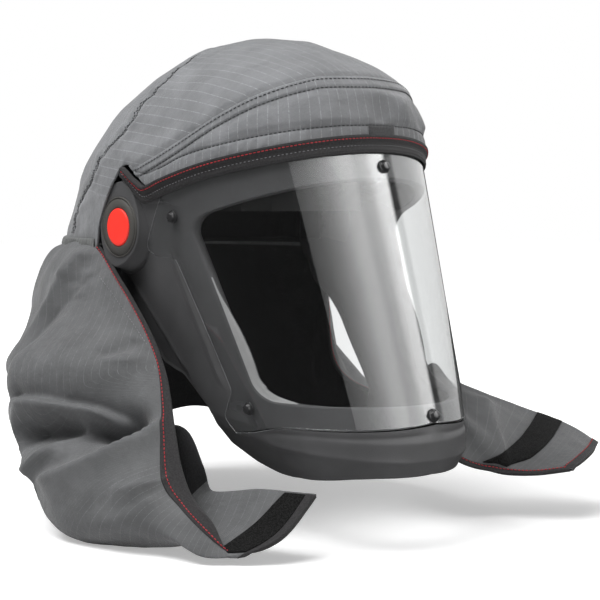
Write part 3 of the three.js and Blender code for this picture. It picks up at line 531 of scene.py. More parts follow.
def spline(points, place):
    """Curve through points (rows of the first axis), by place from 0 to the last row."""
    points = np.asarray(points, float)
    padded = np.concatenate([2 * points[:1] - points[1:2], points, 2 * points[-1:] - points[-2:-1]])
    i = np.clip(np.floor(place).astype(int), 0, len(points) - 2)
    return through(*(padded[i + k] for k in range(4)), (place - i)[..., None])


def spline_across(columns, place):
    """Curve through four columns of points, by place from 0 to 3."""
    c0, c1, c2, c3 = columns
    padded = np.stack([2 * c0 - c1, c0, c1, c2, c3, 2 * c3 - c2])
    i = np.clip(np.floor(place).astype(int), 0, 2)
    near = (np.take_along_axis(padded, (i + k)[None, ..., None], axis=0)[0] for k in range(4))
    return through(*near, (place - i)[..., None])


def fold_height(folds, x, y, scale, tip=0, blunt=0, bent=False):
    """Height of folds at places; with a tip they fade towards both ends. Sharp ones have a blunt crest."""
    height = np.zeros(np.shape(x))
    for item in folds:
        line = item["line"] * scale
        if bent:
            line = spline(line, np.linspace(0, len(line) - 1, 5 * len(line)))
        gap, side, place = line_gap(x * scale[0], y * scale[1], line)
        width = np.where(side > 0, *item["widths"])
        shape = np.exp(-(np.hypot(gap, blunt) - blunt) / width) if item["sharp"] else bell(gap, width)
        ends = smooth(place, -0.02, tip) * smooth(1 - place, -0.02, tip) if tip else 1
        height = height + item["height"] * shape * ends
    return height


def visor_row(row, angle, toe):
    """One row of the visor: half an ellipse with a straight arm on each side."""
    bend = np.clip(angle, -math.pi / 2, math.pi / 2)
    reach = (np.abs(angle) - np.abs(bend)) * ARM_RADIUS
    length = math.hypot(row["depth"], row["rise"])
    x = row["half"] * np.sin(bend) - np.sign(angle) * toe * reach
    y = row["y"] - row["depth"] * np.cos(bend) + reach * row["depth"] / length
    z = row["z"] + row["rise"] * np.cos(bend) - reach * row["rise"] / length
    return np.stack([x, y, z], -1)


def visor(angle, at):
    """Visor surface by angle from the front and place from the upper (0) to the lower studs (1)."""
    angle, at = np.broadcast_arrays(np.asarray(angle, float) * DEG, at)
    toe = ARM_TOE_IN * np.clip(1 - 0.7 * at, 0.3, 1)
    share = at[..., None]
    return visor_row(UPPER_ROW, angle, toe) * (1 - share) + visor_row(LOWER_ROW, angle, toe) * share


def frame_surface(angle, at):
    """The visor surface with the chin guard drawn in below the lens."""
    point = visor(angle, at)
    crease = np.clip(at - CHIN_START, 0, CHIN_CREASE - CHIN_START) / (CHIN_CREASE - CHIN_START)
    pull = crease * CHIN_PULL + np.maximum(at - CHIN_CREASE, 0) * CHIN_TUCK
    centre = UPPER_ROW["y"] + (LOWER_ROW["y"] - UPPER_ROW["y"]) * at
    forward = np.maximum(0, centre - point[..., 1])
    return np.stack([point[..., 0] * (1 - 0.6 * pull), point[..., 1] + forward * pull, point[..., 2]], -1)


def turn_angle(angle):
    """Angle from the front to either side, from 0 to 180."""
    return np.abs((np.asarray(angle, float) + 180) % 360 - 180)


def crown_point(angle, z):
    """Point of the crown cloth by angle from the front in degrees and height."""
    angle, z = np.broadcast_arrays(np.asarray(angle, float), z)
    drop = np.sqrt(np.maximum(APEX["z"] - z, 0))
    half, front, back, power = (
        lookup(CROWN_LEVELS, "drop", drop, column) for column in ("half", "front", "back", "square")
    )
    sine, cosine = np.sin(angle * DEG), np.cos(angle * DEG)
    length = np.maximum(np.where(cosine > 0, front, back), 1e-6)
    half = np.maximum(half, 1e-6)
    reach = ((np.abs(sine) / half) ** power + (np.abs(cosine) / length) ** power) ** (-1 / power)
    return np.stack([reach * sine, APEX["y"] - reach * cosine, z], -1)


def edge_z(angle):
    """Height of the crown's edge."""
    return lookup(CROWN_EDGE, "angle", turn_angle(angle), "z")


def seam_z(angle):
    """Height of the brow seam."""
    return lookup(BROW_SEAM, "angle", np.abs(angle), "z")


def hem_z(angle):
    """Height of the lower stitch line of the brow panel."""
    return lookup(BROW_HEM, "angle", np.abs(angle), "z")


def crown(angle, climb):
    """Crown surface by angle and climb from the cloth's edge (0) to the apex (1)."""
    drop = np.sqrt(APEX["z"] - edge_z(angle)) * (1 - climb)
    return crown_point(angle, APEX["z"] - drop * drop)


def seam_climb(angle):
    """Climb at which the crown cloth starts: the brow seam in front and its own edge behind."""
    turn = turn_angle(angle)
    climb = np.maximum(0, 1 - np.sqrt((APEX["z"] - seam_z(turn)) / (APEX["z"] - edge_z(angle))))
    return np.where(turn >= BROW_SEAM["angle"][-1], 0, climb)


BIB_COLUMNS = [np.array([row[k] for row in BIB_SECTIONS], float) for k in range(4)]


def bib_base(section, depth):
    """Smooth bib by section number and depth from the edge (0) to the hem (1)."""
    section, depth = np.broadcast_arrays(np.asarray(section, float), depth)
    columns = [spline(column, section) for column in BIB_COLUMNS]
    return spline_across(columns, depth * 3)


def gathers(section, depth):
    """Height of the gathers below the neck elastic and of the fullness that they give the cloth."""
    inside = np.clip((section - GATHER["first"]) * 2, 0, 1) * np.clip((GATHER["last"] - section) * 2, 0, 1)
    fade = np.clip(depth / 0.06, 0, 1) * np.exp(-depth / GATHER["reach"])
    wave = GATHER["height"] * np.cos(2 * math.pi * GATHER["each"] * section)
    puff = PUFF["height"] * depth / PUFF["depth"] * np.exp(1 - depth / PUFF["depth"])
    return inside * (fade * wave + puff)


def bib(section, depth):
    """The bib with its broad folds and gathers."""
    height = fold_height(BIB_FOLDS, section, depth, BIB_SCALE) + gathers(section, depth)
    return lifted(bib_base, section, depth, height, 1)


def bib_detail(section, depth):
    """The outer face of the bib with its creases, and the way out of it."""
    base = bib(section, depth)
    creases = fold_height(CREASES, section, depth, BIB_SCALE, CREASE_TIP, CREASE_BLUNT, bent=True)
    height = (creases + dents(base, BIB_DENTS)) * smooth(depth, 0.0, 0.1)
    return base + normals(bib_base, section, depth, 1) * height[..., None], normals(bib, section, depth, 1)


# Meshes
def link(name, data):
    """A new object in the scene."""
    item = bpy.data.objects.new(name, data)
    bpy.context.scene.collection.objects.link(item)
    return item


def mesh_object(name, points, faces, uv=None, mark=None):
    """Mesh in millimetres; uv is one pair for each point and mark one material number for each face."""
    data = bpy.data.meshes.new(name)
    data.from_pydata((np.asarray(points, float) * MM).tolist(), [], faces)
    if uv is not None:
        layer = data.uv_layers.new(name="cloth")
        index = np.zeros(len(data.loops), int)
        data.loops.foreach_get("vertex_index", index)
        layer.data.foreach_set("uv", (np.asarray(uv, float)[index] * CLOTH_UNIT).ravel())
    if mark is not None:
        data.polygons.foreach_set("material_index", mark)
    data.polygons.foreach_set("use_smooth", [True] * len(data.polygons))
    data.update()
    return link(name, data)


def closed(name, points, faces, mark=None):
    """Mesh of a closed form, with its faces turned outwards."""
    piece = mesh_object(name, points, faces, mark=mark)
    work = bmesh.new()
    work.from_mesh(piece.data)
    bmesh.ops.recalc_face_normals(work, faces=work.faces)
    work.to_mesh(piece.data)
    work.free()
    return piece


def mesh_grid(u_range, v_range, grid):
    """Grid of two numbers over their ranges, with the columns and rows of a named grid."""
    columns, rows = GRIDS[grid]
    return np.meshgrid(np.linspace(*u_range, columns + 1), np.linspace(*v_range, rows + 1))


def grid_faces(rows, columns, wrap, offset=0):
    """Faces between rows of points; a grid that wraps joins its last column to its first."""
    count = columns if wrap else columns + 1
    faces = []
    for j in range(rows):
        for i in range(columns):
            k = (i + 1) % count
            low, high = offset + j * count, offset + (j + 1) * count
            faces.append((low + i, low + k, high + k, high + i))
    return faces


def wall(name, outer, inner, uv=None, wrap=False, lining=False, unlined=0, rims=(0, 0)):
    """Closed wall between two grids of points; its inner face can be material 1, a painted shade, after the
    first columns, which keep the outer material.

    The rims are the materials of the wall along its first row and along its other edges.
    """
    rows, count = outer.shape[0] - 1, outer.shape[1]
    columns = count if wrap else count - 1
    size = outer.shape[0] * count
    front = grid_faces(rows, columns, wrap)
    back = [face[::-1] for face in grid_faces(rows, columns, wrap, size)]
    if wrap:
        last = rows * count
        loops = [[*range(count), 0], [last, *range(last + count - 1, last - 1, -1)]]
    else:
        right = [j * count + columns for j in range(1, rows + 1)]
        bottom = [rows * count + i for i in range(columns - 1, -1, -1)]
        loops = [[*range(count), *right, *bottom, *(j * count for j in range(rows - 1, -1, -1))]]
    rim = [(b, a, a + size, b + size) for loop in loops for a, b in zip(loop[:-1], loop[1:])]
    points = np.concatenate([outer.reshape(-1, 3), inner.reshape(-1, 3)])
    middle = (rows // 2) * count + columns // 2
    a, b, c, _ = (points[k] for k in front[(rows // 2) * columns + columns // 2])
    outwards = points[middle] - points[middle + size]
    faces = front + back + rim
    if np.dot(np.cross(b - a, c - a), outwards) < 0:
        faces = [face[::-1] for face in faces]
    # Back faces after the first columns get material 1, the painted shade
    shade_marks = [1 if lining and i >= unlined else 0 for _ in range(rows) for i in range(columns)]
    mark = [0] * len(front) + shade_marks + [rims[0]] * columns + [rims[1]] * (len(rim) - columns)
    both = None if uv is None else np.concatenate([uv.reshape(-1, 2)] * 2)
    return mesh_object(name, points, faces, both, mark)


def laid_on(name, surface, side, u, v, lift, height, **options):
    """Wall on a surface, as high as given above its lift."""
    outer = lifted(surface, u, v, lift + height, side)
    return wall(name, outer, lifted(surface, u, v, lift, side), **options)


def lathe(profile, sides):
    """Points and faces of a solid turned about +X; its profile starts and ends on the axis."""
    turns = np.arange(sides) * 2 * math.pi / sides
    points = [(profile[0][1], 0, 0)]
    for radius, height in profile[1:-1]:
        points += [(height, radius * math.cos(t), radius * math.sin(t)) for t in turns]
    points.append((profile[-1][1], 0, 0))
    rings = len(profile) - 2
    top = 1 + (rings - 1) * sides
    faces = grid_faces(rings - 1, sides, True, 1)
    for i in range(sides):
        k = (i + 1) % sides
        faces.append((0, 1 + k, 1 + i))
        faces.append((top + i, top + k, len(points) - 1))
    return np.array(points, float), faces


def on_line(place, values, x):
    """Values at a distance along a line, from the values at its points."""
    return np.array([np.interp(x, place, values[:, k]) for k in range(3)])


def stitches(name, lines, length, gap, width):
    """Thread that lies along lines; each line is its points and the way out of the cloth at each point."""
    around = 6
    profile = ((-0.5, 0.05), (-0.42, 0.62), (-0.2, 1), (0.2, 1), (0.42, 0.62), (0.5, 0.05))
    points, faces = [], []
    for line, outs in lines:
        place = np.concatenate([[0], np.cumsum(np.linalg.norm(np.diff(line, axis=0), axis=1))])
        count = max(1, int(place[-1] / (length + gap)))
        step = place[-1] / count
        for n in range(count):
            centre = (n + 0.5) * step
            ahead = unit(on_line(place, line, centre + 0.2) - on_line(place, line, centre - 0.2))
            out = on_line(place, outs, centre)
            out = unit(out - ahead * (out @ ahead))
            side = np.cross(ahead, out)
            first = len(points)
            for share, swell in profile:
                middle = on_line(place, line, centre + share * step * length / (length + gap))
                middle = middle + out * width * 0.25 * swell
                for k in range(around):
                    t = 2 * math.pi * k / around
                    points.append(middle + (side * math.cos(t) + out * math.sin(t)) * width * 0.5 * swell)
            faces += grid_faces(len(profile) - 1, around, True, first)
            faces.append(tuple(range(first + around - 1, first - 1, -1)))
            faces.append(tuple(range(len(points) - around, len(points))))
    return mesh_object(name, points, faces)


# Materials
def new_material(name, colour, roughness, **sockets):
    """A plain material; other sockets are named with _ for each space."""
    made = bpy.data.materials.new(name)
    made.use_nodes = True
    shader = made.node_tree.nodes["Principled BSDF"]
    shader.inputs["Base Color"].default_value = (*colour, 1)
    shader.inputs["Roughness"].default_value = roughness
    for key, value in sockets.items():
        shader.inputs[key.replace("_", " ")].default_value = value
    made.diffuse_color = (*colour, 1)
    return made


class Nodes:
    """Short calls for the nodes of one material or world."""

    def __init__(self, made):
        self.tree = made.node_tree
        self.shader = self.tree.nodes.get("Principled BSDF")

    def add(self, kind, inputs=None, **settings):
        node = self.tree.nodes.new(kind)
        for key, value in settings.items():
            setattr(node, key, value)
        for key, value in (inputs or {}).items():
            self.put(node, key, value)
        return node

    def put(self, node, key, value):
        if isinstance(value, bpy.types.NodeSocket):
            self.tree.links.new(value, node.inputs[key])
        else:
            node.inputs[key].default_value = value

    def drive(self, key, value):
        self.put(self.shader, key, value)

    def place(self):
        return self.add("ShaderNodeTexCoord").outputs["Object"]

    def math(self, operation, a, b=0.0):
        return self.add("ShaderNodeMath", {0: a, 1: b}, operation=operation).outputs[0]

    def noise(self, vector, scale, detail=2.0, roughness=0.5):
        inputs = {"Vector": vector, "Scale": scale, "Detail": detail, "Roughness": roughness}
        return self.add("ShaderNodeTexNoise", inputs).outputs["Fac"]

    def ramp(self, value, low, high, to_low=0.0, to_high=1.0):
        inputs = {"Value": value, "From Min": low, "From Max": high, "To Min": to_low, "To Max": to_high}
        return self.add("ShaderNodeMapRange", inputs, interpolation_type="SMOOTHSTEP").outputs[0]

    def mix(self, share, a, b):
        return self.add("ShaderNodeMix", data_type="RGBA", inputs={0: share, 6: a, 7: b}).outputs[2]

    def bump(self, height, strength, distance, before=None):
        inputs = {"Height": height, "Strength": strength, "Distance": distance}
        if before is not None:
            inputs["Normal"] = before
        return self.add("ShaderNodeBump", inputs).outputs[0]


def shade(colour, times):
    return tuple(min(1, c * times) for c in colour[:3]) + (1,)


def cloth_material(name, colour, stripe, spacing):
    """Ripstop cloth: thin broken light pinstripes across u, a fine weave and soft uneven colour."""
    made = new_material(name, colour, 0.78, Sheen_Weight=0.25, Sheen_Roughness=0.4)
    n = Nodes(made)
    cloth = n.add("ShaderNodeUVMap", uv_map="cloth").outputs[0]
    split = n.add("ShaderNodeSeparateXYZ", {0: cloth}).outputs
    body = n.place()
    patchy = n.ramp(n.noise(body, 38, 3, 0.6), 0.3, 0.7)
    base = n.mix(patchy, shade(colour, 0.86), shade(colour, 1.12))
    wander = n.math("MULTIPLY", n.noise(cloth, 1.6, 1), 0.02)
    place = n.math("FRACT", n.math("DIVIDE", n.math("ADD", split[0], wander), spacing * CLOTH_UNIT))
    line = n.ramp(n.math("ABSOLUTE", n.math("SUBTRACT", place, 0.5)), 0.02, 0.055, 1, 0)
    dashes = n.add("ShaderNodeMapping", {"Vector": cloth, "Scale": (24, 90, 1)}).outputs[0]
    broken = n.ramp(n.noise(dashes, 1, 2), 0.36, 0.62, 0.12, 1)
    share = n.math("MULTIPLY", n.math("MULTIPLY", line, broken), stripe)
    striped = n.mix(share, base, shade(colour, 2.6))
    threads, picks = (
        n.math("SINE", n.math("MULTIPLY", split[k], 2 * math.pi / (pitch * CLOTH_UNIT)))
        for k, pitch in enumerate((0.55, 0.6))
    )
    weave = n.math("MULTIPLY", threads, picks)
    speckle = n.noise(cloth, 180, 2, 0.7)
    worn = n.mix(n.ramp(speckle, 0.35, 0.7, 0, 0.35), striped, shade(colour, 0.66))
    n.drive("Base Color", worn)
    n.drive("Roughness", n.ramp(speckle, 0.3, 0.7, 0.7, 0.85))
    crumple = n.bump(n.noise(body, 70, 4, 0.55), 0.35, 0.004)
    grain = n.bump(n.math("ADD", n.math("MULTIPLY", weave, 0.3), speckle), 0.25, 0.0006, crumple)
    n.drive("Normal", grain)
    return made


def tape_material(name, colour, ribs, roughness):
    """Woven tape or thread: fine ribs, a little wear."""
    made = new_material(name, colour, roughness, Sheen_Weight=0.05, Specular_IOR_Level=0.3)
    n = Nodes(made)
    body = n.place()
    lumps = n.noise(body, 900, 3, 0.6)
    n.drive("Base Color", n.mix(n.ramp(lumps, 0.3, 0.7), shade(colour, 0.7), shade(colour, 1.35)))
    wave = n.add("ShaderNodeTexWave", {"Vector": body, "Scale": ribs, "Distortion": 2.0}).outputs["Fac"]
    n.drive("Normal", n.bump(n.math("ADD", wave, lumps), 0.35, 0.0008))
    return made


def pile_material(name, colour):
    """Hook-and-loop tape: rough black pile."""
    made = new_material(name, colour, 0.95, Specular_IOR_Level=0.2)
    n = Nodes(made)
    body = n.place()
    pile = n.add("ShaderNodeTexVoronoi", {"Vector": body, "Scale": 900}).outputs["Distance"]
    fuzz = n.noise(body, 1600, 3, 0.7)
    n.drive("Base Color", n.mix(n.ramp(pile, 0.2, 0.7), shade(colour, 1.8), shade(colour, 0.5)))
    n.drive("Normal", n.bump(n.math("ADD", pile, fuzz), 0.8, 0.0012))
    return made


def plastic_material(name, colour, roughness, grain, depth, **sockets):
    """Moulded plastic with a spark-eroded grain and slightly uneven gloss."""
    made = new_material(name, colour, roughness, **sockets)
    n = Nodes(made)
    body = n.place()
    cloudy = n.ramp(n.noise(body, 22, 3, 0.55), 0.3, 0.7)
    n.drive("Base Color", n.mix(cloudy, shade(colour, 0.88), shade(colour, 1.12)))
    fine = n.noise(body, grain, 2, 0.6)
    n.drive("Roughness", n.ramp(fine, 0.3, 0.7, roughness - 0.06, roughness + 0.07))
    n.drive("Normal", n.bump(fine, 0.3, depth))
    return made


def film_material(name, colour):
    """Clear film with faint haze."""
    made = new_material(name, colour, 0.03, IOR=1.55, Transmission_Weight=1.0)
    n = Nodes(made)
    haze = n.noise(n.place(), 30, 3, 0.6)
    n.drive("Roughness", n.ramp(haze, 0.3, 0.8, 0.015, 0.05))
    return made


def make_looks():
    """Every material of the hood, by name."""
    looks = {"hook_tape": pile_material("hook_tape", PILE_COLOUR)}
    looks["lens_film"] = film_material("lens_film", FILM_COLOUR)
    for kind, rows in ((cloth_material, CLOTHS), (tape_material, TAPES), (plastic_material, PLASTICS)):
        looks.update({name: kind(name, **row) for name, row in rows.items()})
    return looks


def dress(piece, slot, *materials, node=None):
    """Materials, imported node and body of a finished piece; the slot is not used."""
    for made in materials:
        piece.data.materials.append(made)
    if node:
        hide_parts(node)
    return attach(piece, "root")


# Crown and brow
def crown_uv(points):
    """Cloth place of crown points: around and along a line from back to front that dips to the front."""
    tilt = STRIPES["tilt"] * DEG
    y, z = points[..., 1] - APEX["y"], points[..., 2] - STRIPES["z"]
    ahead = -y * math.cos(tilt) - z * math.sin(tilt)
    up = z * math.cos(tilt) - y * math.sin(tilt)
    return np.stack([np.arctan2(points[..., 0], np.maximum(up, 1)) * STRIPES["crown"], ahead], -1)


def back_uv(angle, z):
    """Cloth place of crown points behind the back seams, clear of the front ones."""
    around = np.sign(180 - angle) * turn_angle(angle) * DEG * STRIPES["back"] + 900
    return np.stack([around, z], -1)


def back_seam(z, shift):
    """Angle of the back seam at a height; shift moves it along the crown in millimetres."""
    return lookup(BACK_SEAM, "z", z, "angle") + shift / BACK_DEGREE


def crown_relief(base, angle):
    """Height of the seams, dents and puckers of the crown cloth."""
    turn = np.linspace(-98.5, 98.5, 500)
    brow = line_distance(base, crown_point(turn, seam_z(turn)))
    seam = BROW_SEAM_RELIEF
    height = seam["rise"] * smooth(brow, 0, seam["reach"]) - seam["sink"]
    pucker = seam["pucker"] * np.sin(angle * 1.9 + 3 * noise(base, 25, 8))
    height = height + pucker * np.exp(-brow / seam["reach"])
    z = np.linspace(-15, 139, 400)
    seam = BACK_SEAM_RELIEF
    for side in SIDES.values():
        gap = line_distance(base, crown_point(side * back_seam(z, BACK_SEAM_PAIR / 2), z))
        (groove, narrow), (swell, wide), (pucker, around) = seam["groove"], seam["swell"], seam["pucker"]
        height = height - groove * bell(gap, narrow) + swell * bell(gap - seam["swell_off"], wide)
        wave = np.sin(base[..., 2] * 0.42 + 4 * noise(base, 20, 9))
        height = height + pucker * wave * bell(gap, around)
    slanted = base @ CROWN_SLANT
    crest = 1 - CROWN_FOLDS["steep"] * np.abs(
        noise(slanted * (1, 1, 1.5), CROWN_FOLDS["size"], CROWN_FOLDS["seed"])
    )
    patch = noise(base, CROWN_FOLDS["patch_size"], CROWN_FOLDS["patch_seed"]) > -0.2
    uneven = dents(slanted, CROWN_DENTS) + CROWN_FOLDS["height"] * np.maximum(crest, 0) * patch
    return height + uneven * smooth(brow, 3, 22)


def make_crown(materials):
    """The crown cloth, from the brow seam and its own edge to the apex."""
    columns, rows = GRIDS["crown"]
    angle = np.broadcast_to(np.arange(columns) * 360 / columns, (rows + 1, columns))
    start = seam_climb(angle[0])
    share = np.linspace(0, 1, rows + 1)[:, None] ** 1.15 * 0.994
    climb = start + (1 - start) * share
    base = crown(angle, climb)
    out = normals(crown, angle, climb, 1)
    z = base[..., 2]
    free = np.clip(smooth(z, -16, 2) + (turn_angle(angle) < BROW_SEAM["angle"][-1]), 0, 1)
    outer = base + out * (crown_relief(base, angle) * free)[..., None]
    behind = turn_angle(angle) > back_seam(np.clip(z, -16, 139.5), 0)
    uv = np.where(behind[..., None], back_uv(angle, z), crown_uv(outer))
    # The inner face is near-black painted shade
    piece = wall("crown_cloth", outer, outer - out * CLOTH, uv, wrap=True, lining=True)
    close_pole(piece, rows, columns)
    return dress(piece, "hood_cloth", *materials, node="crown_cover")


def close_pole(piece, rows, columns):
    """Fills the small hole that the grid leaves at the apex, on both faces, in place of its rim."""
    work = bmesh.new()
    work.from_mesh(piece.data)
    work.verts.ensure_lookup_table()
    size = (rows + 1) * columns
    top = [work.verts[rows * columns + i] for i in range(columns)]
    under = [work.verts[size + rows * columns + i] for i in range(columns)]
    ends = set(top + under)
    rim = [face for face in work.faces if all(corner in ends for corner in face.verts)]
    bmesh.ops.delete(work, geom=rim, context="FACES_ONLY")
    for ring, up in ((top, 1), (under, -1)):
        face = work.faces.new(ring)
        face.normal_update()
        if face.normal.z * up < 0:
            face.normal_flip()
        face.smooth = True
        # The inner cap is painted shade
        face.material_index = 0 if up > 0 else 1
    work.to_mesh(piece.data)
    work.free()


def brow_cloth(angle, z):
    """The brow panel's outer face by angle and height, and the way out of it."""
    base = crown_point(angle, z)
    out = normals(crown_point, angle, z, 1)
    seam, edge = seam_z(angle), edge_z(angle)
    hem = np.minimum(hem_z(angle), (seam + edge) / 2)
    below = seam - z
    shape = BROW_RELIEF
    welt = shape["welt"] * smooth(WELT - below, -1.2, 1.2)
    middle = smooth(below, WELT, WELT + 7) * smooth(z - hem, 0, 6)
    broad, small = shape["dents"]
    uneven = broad * noise(base * (1, 1, 1.6), 24, 11) + small * noise(base, 11, 12)
    grooves = bell(below - WELT, shape["groove_width"]) + bell(z - hem, shape["groove_width"])
    low = smooth(hem - z, 0, 4) * smooth(z - edge, -1, 3)
    wave = np.sin(angle * 1.6 + 2.2 * noise(base, 16, 14))
    pucker = (shape["pucker"] + 0.25 * noise(base, 12, 13)) * wave
    height = welt + middle * (shape["belly"] + uneven) - shape["groove"] * grooves + low * (0.2 + pucker)
    return base + out * height[..., None], out


def make_brow(materials):
    """The brow panel, from the face edge up to the brow seam."""
    angle, share = mesh_grid((-BROW_END, BROW_END), (0, 1), "brow")
    edge = edge_z(angle)
    z = edge + np.maximum(seam_z(angle) + 0.6 - edge, 0.5) * share
    outer, out = brow_cloth(angle, z)
    uv = np.stack([angle * DEG * STRIPES["brow"], z], -1)
    # The inner face is near-black painted shade
    piece = wall("brow_cloth", outer, outer - out * CLOTH, uv, lining=True)
    return dress(piece, "hood_cloth", *materials, node="brow_panel")


def brow_line(reach, height_at, drop):
    """A stitch line on the brow panel, at a drop below a height given by the angle."""
    angle = np.linspace(-reach, reach, 500)
    line, out = brow_cloth(angle, height_at(angle) - drop)
    return line + out * STITCH_LIFT, out


def back_seam_line(side, shift):
    """A zig-zag stitch line beside a back seam of the crown."""
    z = np.linspace(-6, 138, 420)
    zigzag = 0.8 * np.sign(np.sin(z * 1.7))
    angle = side * back_seam(z, shift + zigzag)
    base = crown_point(angle, z)
    out = normals(crown_point, angle, z, 1)
    return base + out * (crown_relief(base, angle) + STITCH_LIFT)[:, None], out


def binding_place(along, across):
    """Angle and place of the face binding, by step along it (below 0 to the right) and share across it."""
    low_angle, low_at, high_angle, high_at = (
        lookup(BINDING, "step", np.abs(along), column)
        for column in ("low_angle", "low_at", "high_angle", "high_at")
    )
    angle = np.sign(along) * (low_angle + (high_angle - low_angle) * across)
    return angle, low_at + (high_at - low_at) * across


def binding_height(across):
    """Thickness of the face binding: a soft gasket bead below, a flat tape and a rolled welt above."""
    shape = BINDING_RELIEF
    bead = shape["bead"] * bell(across - 0.05, 0.05)
    flat = shape["flat"] * smooth(across, 0.06, 0.16)
    welt = shape["welt"] * smooth(across, 0.5, 0.92)
    return shape["thin"] + bead + flat + welt - shape["groove"] * bell(across - BINDING_RED, 0.03)


def make_binding(material):
    """Dark tape along the face edge, with a return above each pivot."""
    end = BINDING["step"][-1]
    step, across = mesh_grid((-end, end), (0, 1), "binding")
    angle, at = binding_place(step, across)
    piece = laid_on("face_binding_tape", visor, -1, angle, at, BINDING_LIFT, binding_height(across))
    return dress(piece, "binding_tape", material, node="face_binding")


def binding_line(across, lift):
    """A stitch line along the face binding."""
    step = np.linspace(-7.9, 7.9, 400)
    angle, at = binding_place(step, np.full_like(step, across))
    height = BINDING_LIFT + binding_height(np.float64(across)) + lift
    return lifted(visor, angle, at, height, -1), normals(visor, angle, at, -1)


def make_elastic(material):
    """Gathered casing of the neck elastic round the back."""
    start, low, high = ELASTIC["start"], ELASTIC["low"], ELASTIC["high"]
    angle, z = mesh_grid((start, 360 - start), (low, high), "elastic")
    share = (z - low) / (high - low)
    swell = np.sqrt(np.clip(1 - (2 * share - 1) ** 2, 0, 1))
    tip = smooth(angle - start, -1, 5) * smooth(360 - start - angle, -1, 5)
    spread = np.stack([angle, z * 0.5, z * 0], -1)
    ruffle = np.sin(angle * 3.4 + 3 * noise(spread, 9, 4))
    ruffle = ruffle + 0.6 * np.sin(angle * 7.1 + 3 * noise(spread, 5, 6))
    height = CLOTH * 0.5 + (ELASTIC["swell"] + ELASTIC["ruffle"] * ruffle) * swell * tip
    uv = np.stack([angle * DEG * STRIPES["brow"], z], -1)
    piece = laid_on("neck_elastic_casing", crown_point, 1, angle, z, ELASTIC["lift"], height, uv=uv)
    return dress(piece, "elastic_cloth", material, node="neck_elastic")


def make_label(material):
    """Blank woven tab on the brow."""
    half, low, high = LABEL["half"], LABEL["low"], LABEL["high"]
    angle, z = mesh_grid((-half, half), (low, high), "label")
    edge = 1 - np.maximum(np.abs(angle) / half, np.abs(2 * (z - low) / (high - low) - 1)) ** 8
    height = LABEL["thick"] * (0.4 + 0.6 * edge)
    piece = laid_on("label_tab_cloth", crown_point, 1, angle, z, LABEL["lift"], height)
    return dress(piece, "label_cloth", material, node="label_tab")


# Bib
def bib_uv(section, depth):
    """Cloth place of bib points: stripes fall from the neck, and turn along the front flaps."""
    points = bib_base(section, depth)
    around = np.arctan2(points[..., 0], points[..., 1] - 20) * STRIPES["bib"]
    share = smooth(section, 3.2, 5.2) * smooth(LAST_SECTION - section, 3.0, 5.0)
    return np.stack([section * BIB_SCALE[0] * (1 - share) + around * share, depth * BIB_SCALE[1]], -1)


def in_bib(section):
    """Sections kept just inside both ends of the bib."""
    return np.clip(section, 1e-4, LAST_SECTION - 1e-4)


def make_bib(materials):
    """The bib, its inner face and neck edge painted dark as shade, except the inner face of the lit right
    flap.
    """
    section, depth = mesh_grid((0, LAST_SECTION), (0, 1), "bib")
    section = in_bib(section)
    outer, out = bib_detail(section, depth)
    # Inner face and neck edge get painted shade, except the first columns of the lit right flap
    piece = wall("bib_cloth_sheet", outer, outer - out * CLOTH, bib_uv(section, depth), lining=True,
                 unlined=FLAP_COLUMNS, rims=(1, 0))
    return dress(piece, "bib_cloth", *materials, node="bib")


def make_strip(node, near, far, top, bottom, face, material):
    """A pile strip on the outer (1) or the inner face (-1) of the bib."""
    share, depth = mesh_grid((0, 1), (top, bottom), "strip")
    first, last = (lookup(line, "depth", depth, "section") for line in (near, far))
    base, out = bib_detail(in_bib(first + (last - first) * share), depth)
    across = (depth - top) / (bottom - top)
    edge = np.maximum(np.abs(2 * across - 1), np.abs(2 * share - 1))
    height = STRIP_THICK * (1 - 0.5 * edge ** 6)
    lift = STRIP_GAP if face > 0 else -CLOTH - STRIP_GAP
    piece = wall(f"{node}_pile", base + out * (lift + face * height)[..., None], base + out * lift)
    return dress(piece, "hook_tape", material, node=node)


def edge_width(section):
    """Depth that an edge tape covers."""
    return lookup(EDGE_WIDTH, "section", section, "depth")


def make_edge_tape(word, first, last, material):
    """Dark tape folded over one front edge of the bib, from its inner to its outer face."""
    section, across = mesh_grid((first, last), (-1, 1), "edge")
    share = np.maximum(np.abs(across) - EDGE_ROLL, 0) / (1 - EDGE_ROLL)
    base, out = bib_detail(section, edge_width(section) * share)
    ahead = unit(bib_base(section, np.zeros_like(share)) - bib_base(section, np.full_like(share, 0.03)))
    turn = np.clip(across / EDGE_ROLL, -1, 1) * math.pi / 2
    way = out * np.sin(turn)[..., None] + ahead * np.cos(turn)[..., None]
    layers = []
    for gap in (EDGE_TAPE, 0.12):
        reach = CLOTH / 2 + gap * (1 - 0.5 * share ** 8)
        layers.append(base - out * CLOTH / 2 + way * reach[..., None])
    piece = wall(f"bib_binding_{word}_tape", *layers)
    return dress(piece, "binding_tape", material, node=f"bib_binding_{word}")


def make_end_tape(word, free, stop, top, material):
    """Dark tape folded over one end of the bib, from its free end to where it stops on both faces."""
    share, depth = mesh_grid((0, 1), (top, END_BOTTOM), "end")
    base, out = bib_detail(free + (stop - free) * share, depth)
    end = np.full_like(depth, free)
    ahead = unit(bib_base(end, depth) - bib_base(end - 0.03 * np.sign(free - stop), depth))
    past = ahead * (END_PAST * (share == 0))[..., None]
    outer = base + out * EDGE_TAPE + past
    inner = base - out * (CLOTH + EDGE_TAPE) + past
    return dress(wall(f"bib_end_{word}_tape", outer, inner), "binding_tape", material)


def edge_line(first, last, count):
    """The stitch line on an edge tape."""
    section = np.linspace(first, last, count)
    base, out = bib_detail(section, edge_width(section) * EDGE_STITCH)
    return base + out * (EDGE_TAPE + 0.05), out


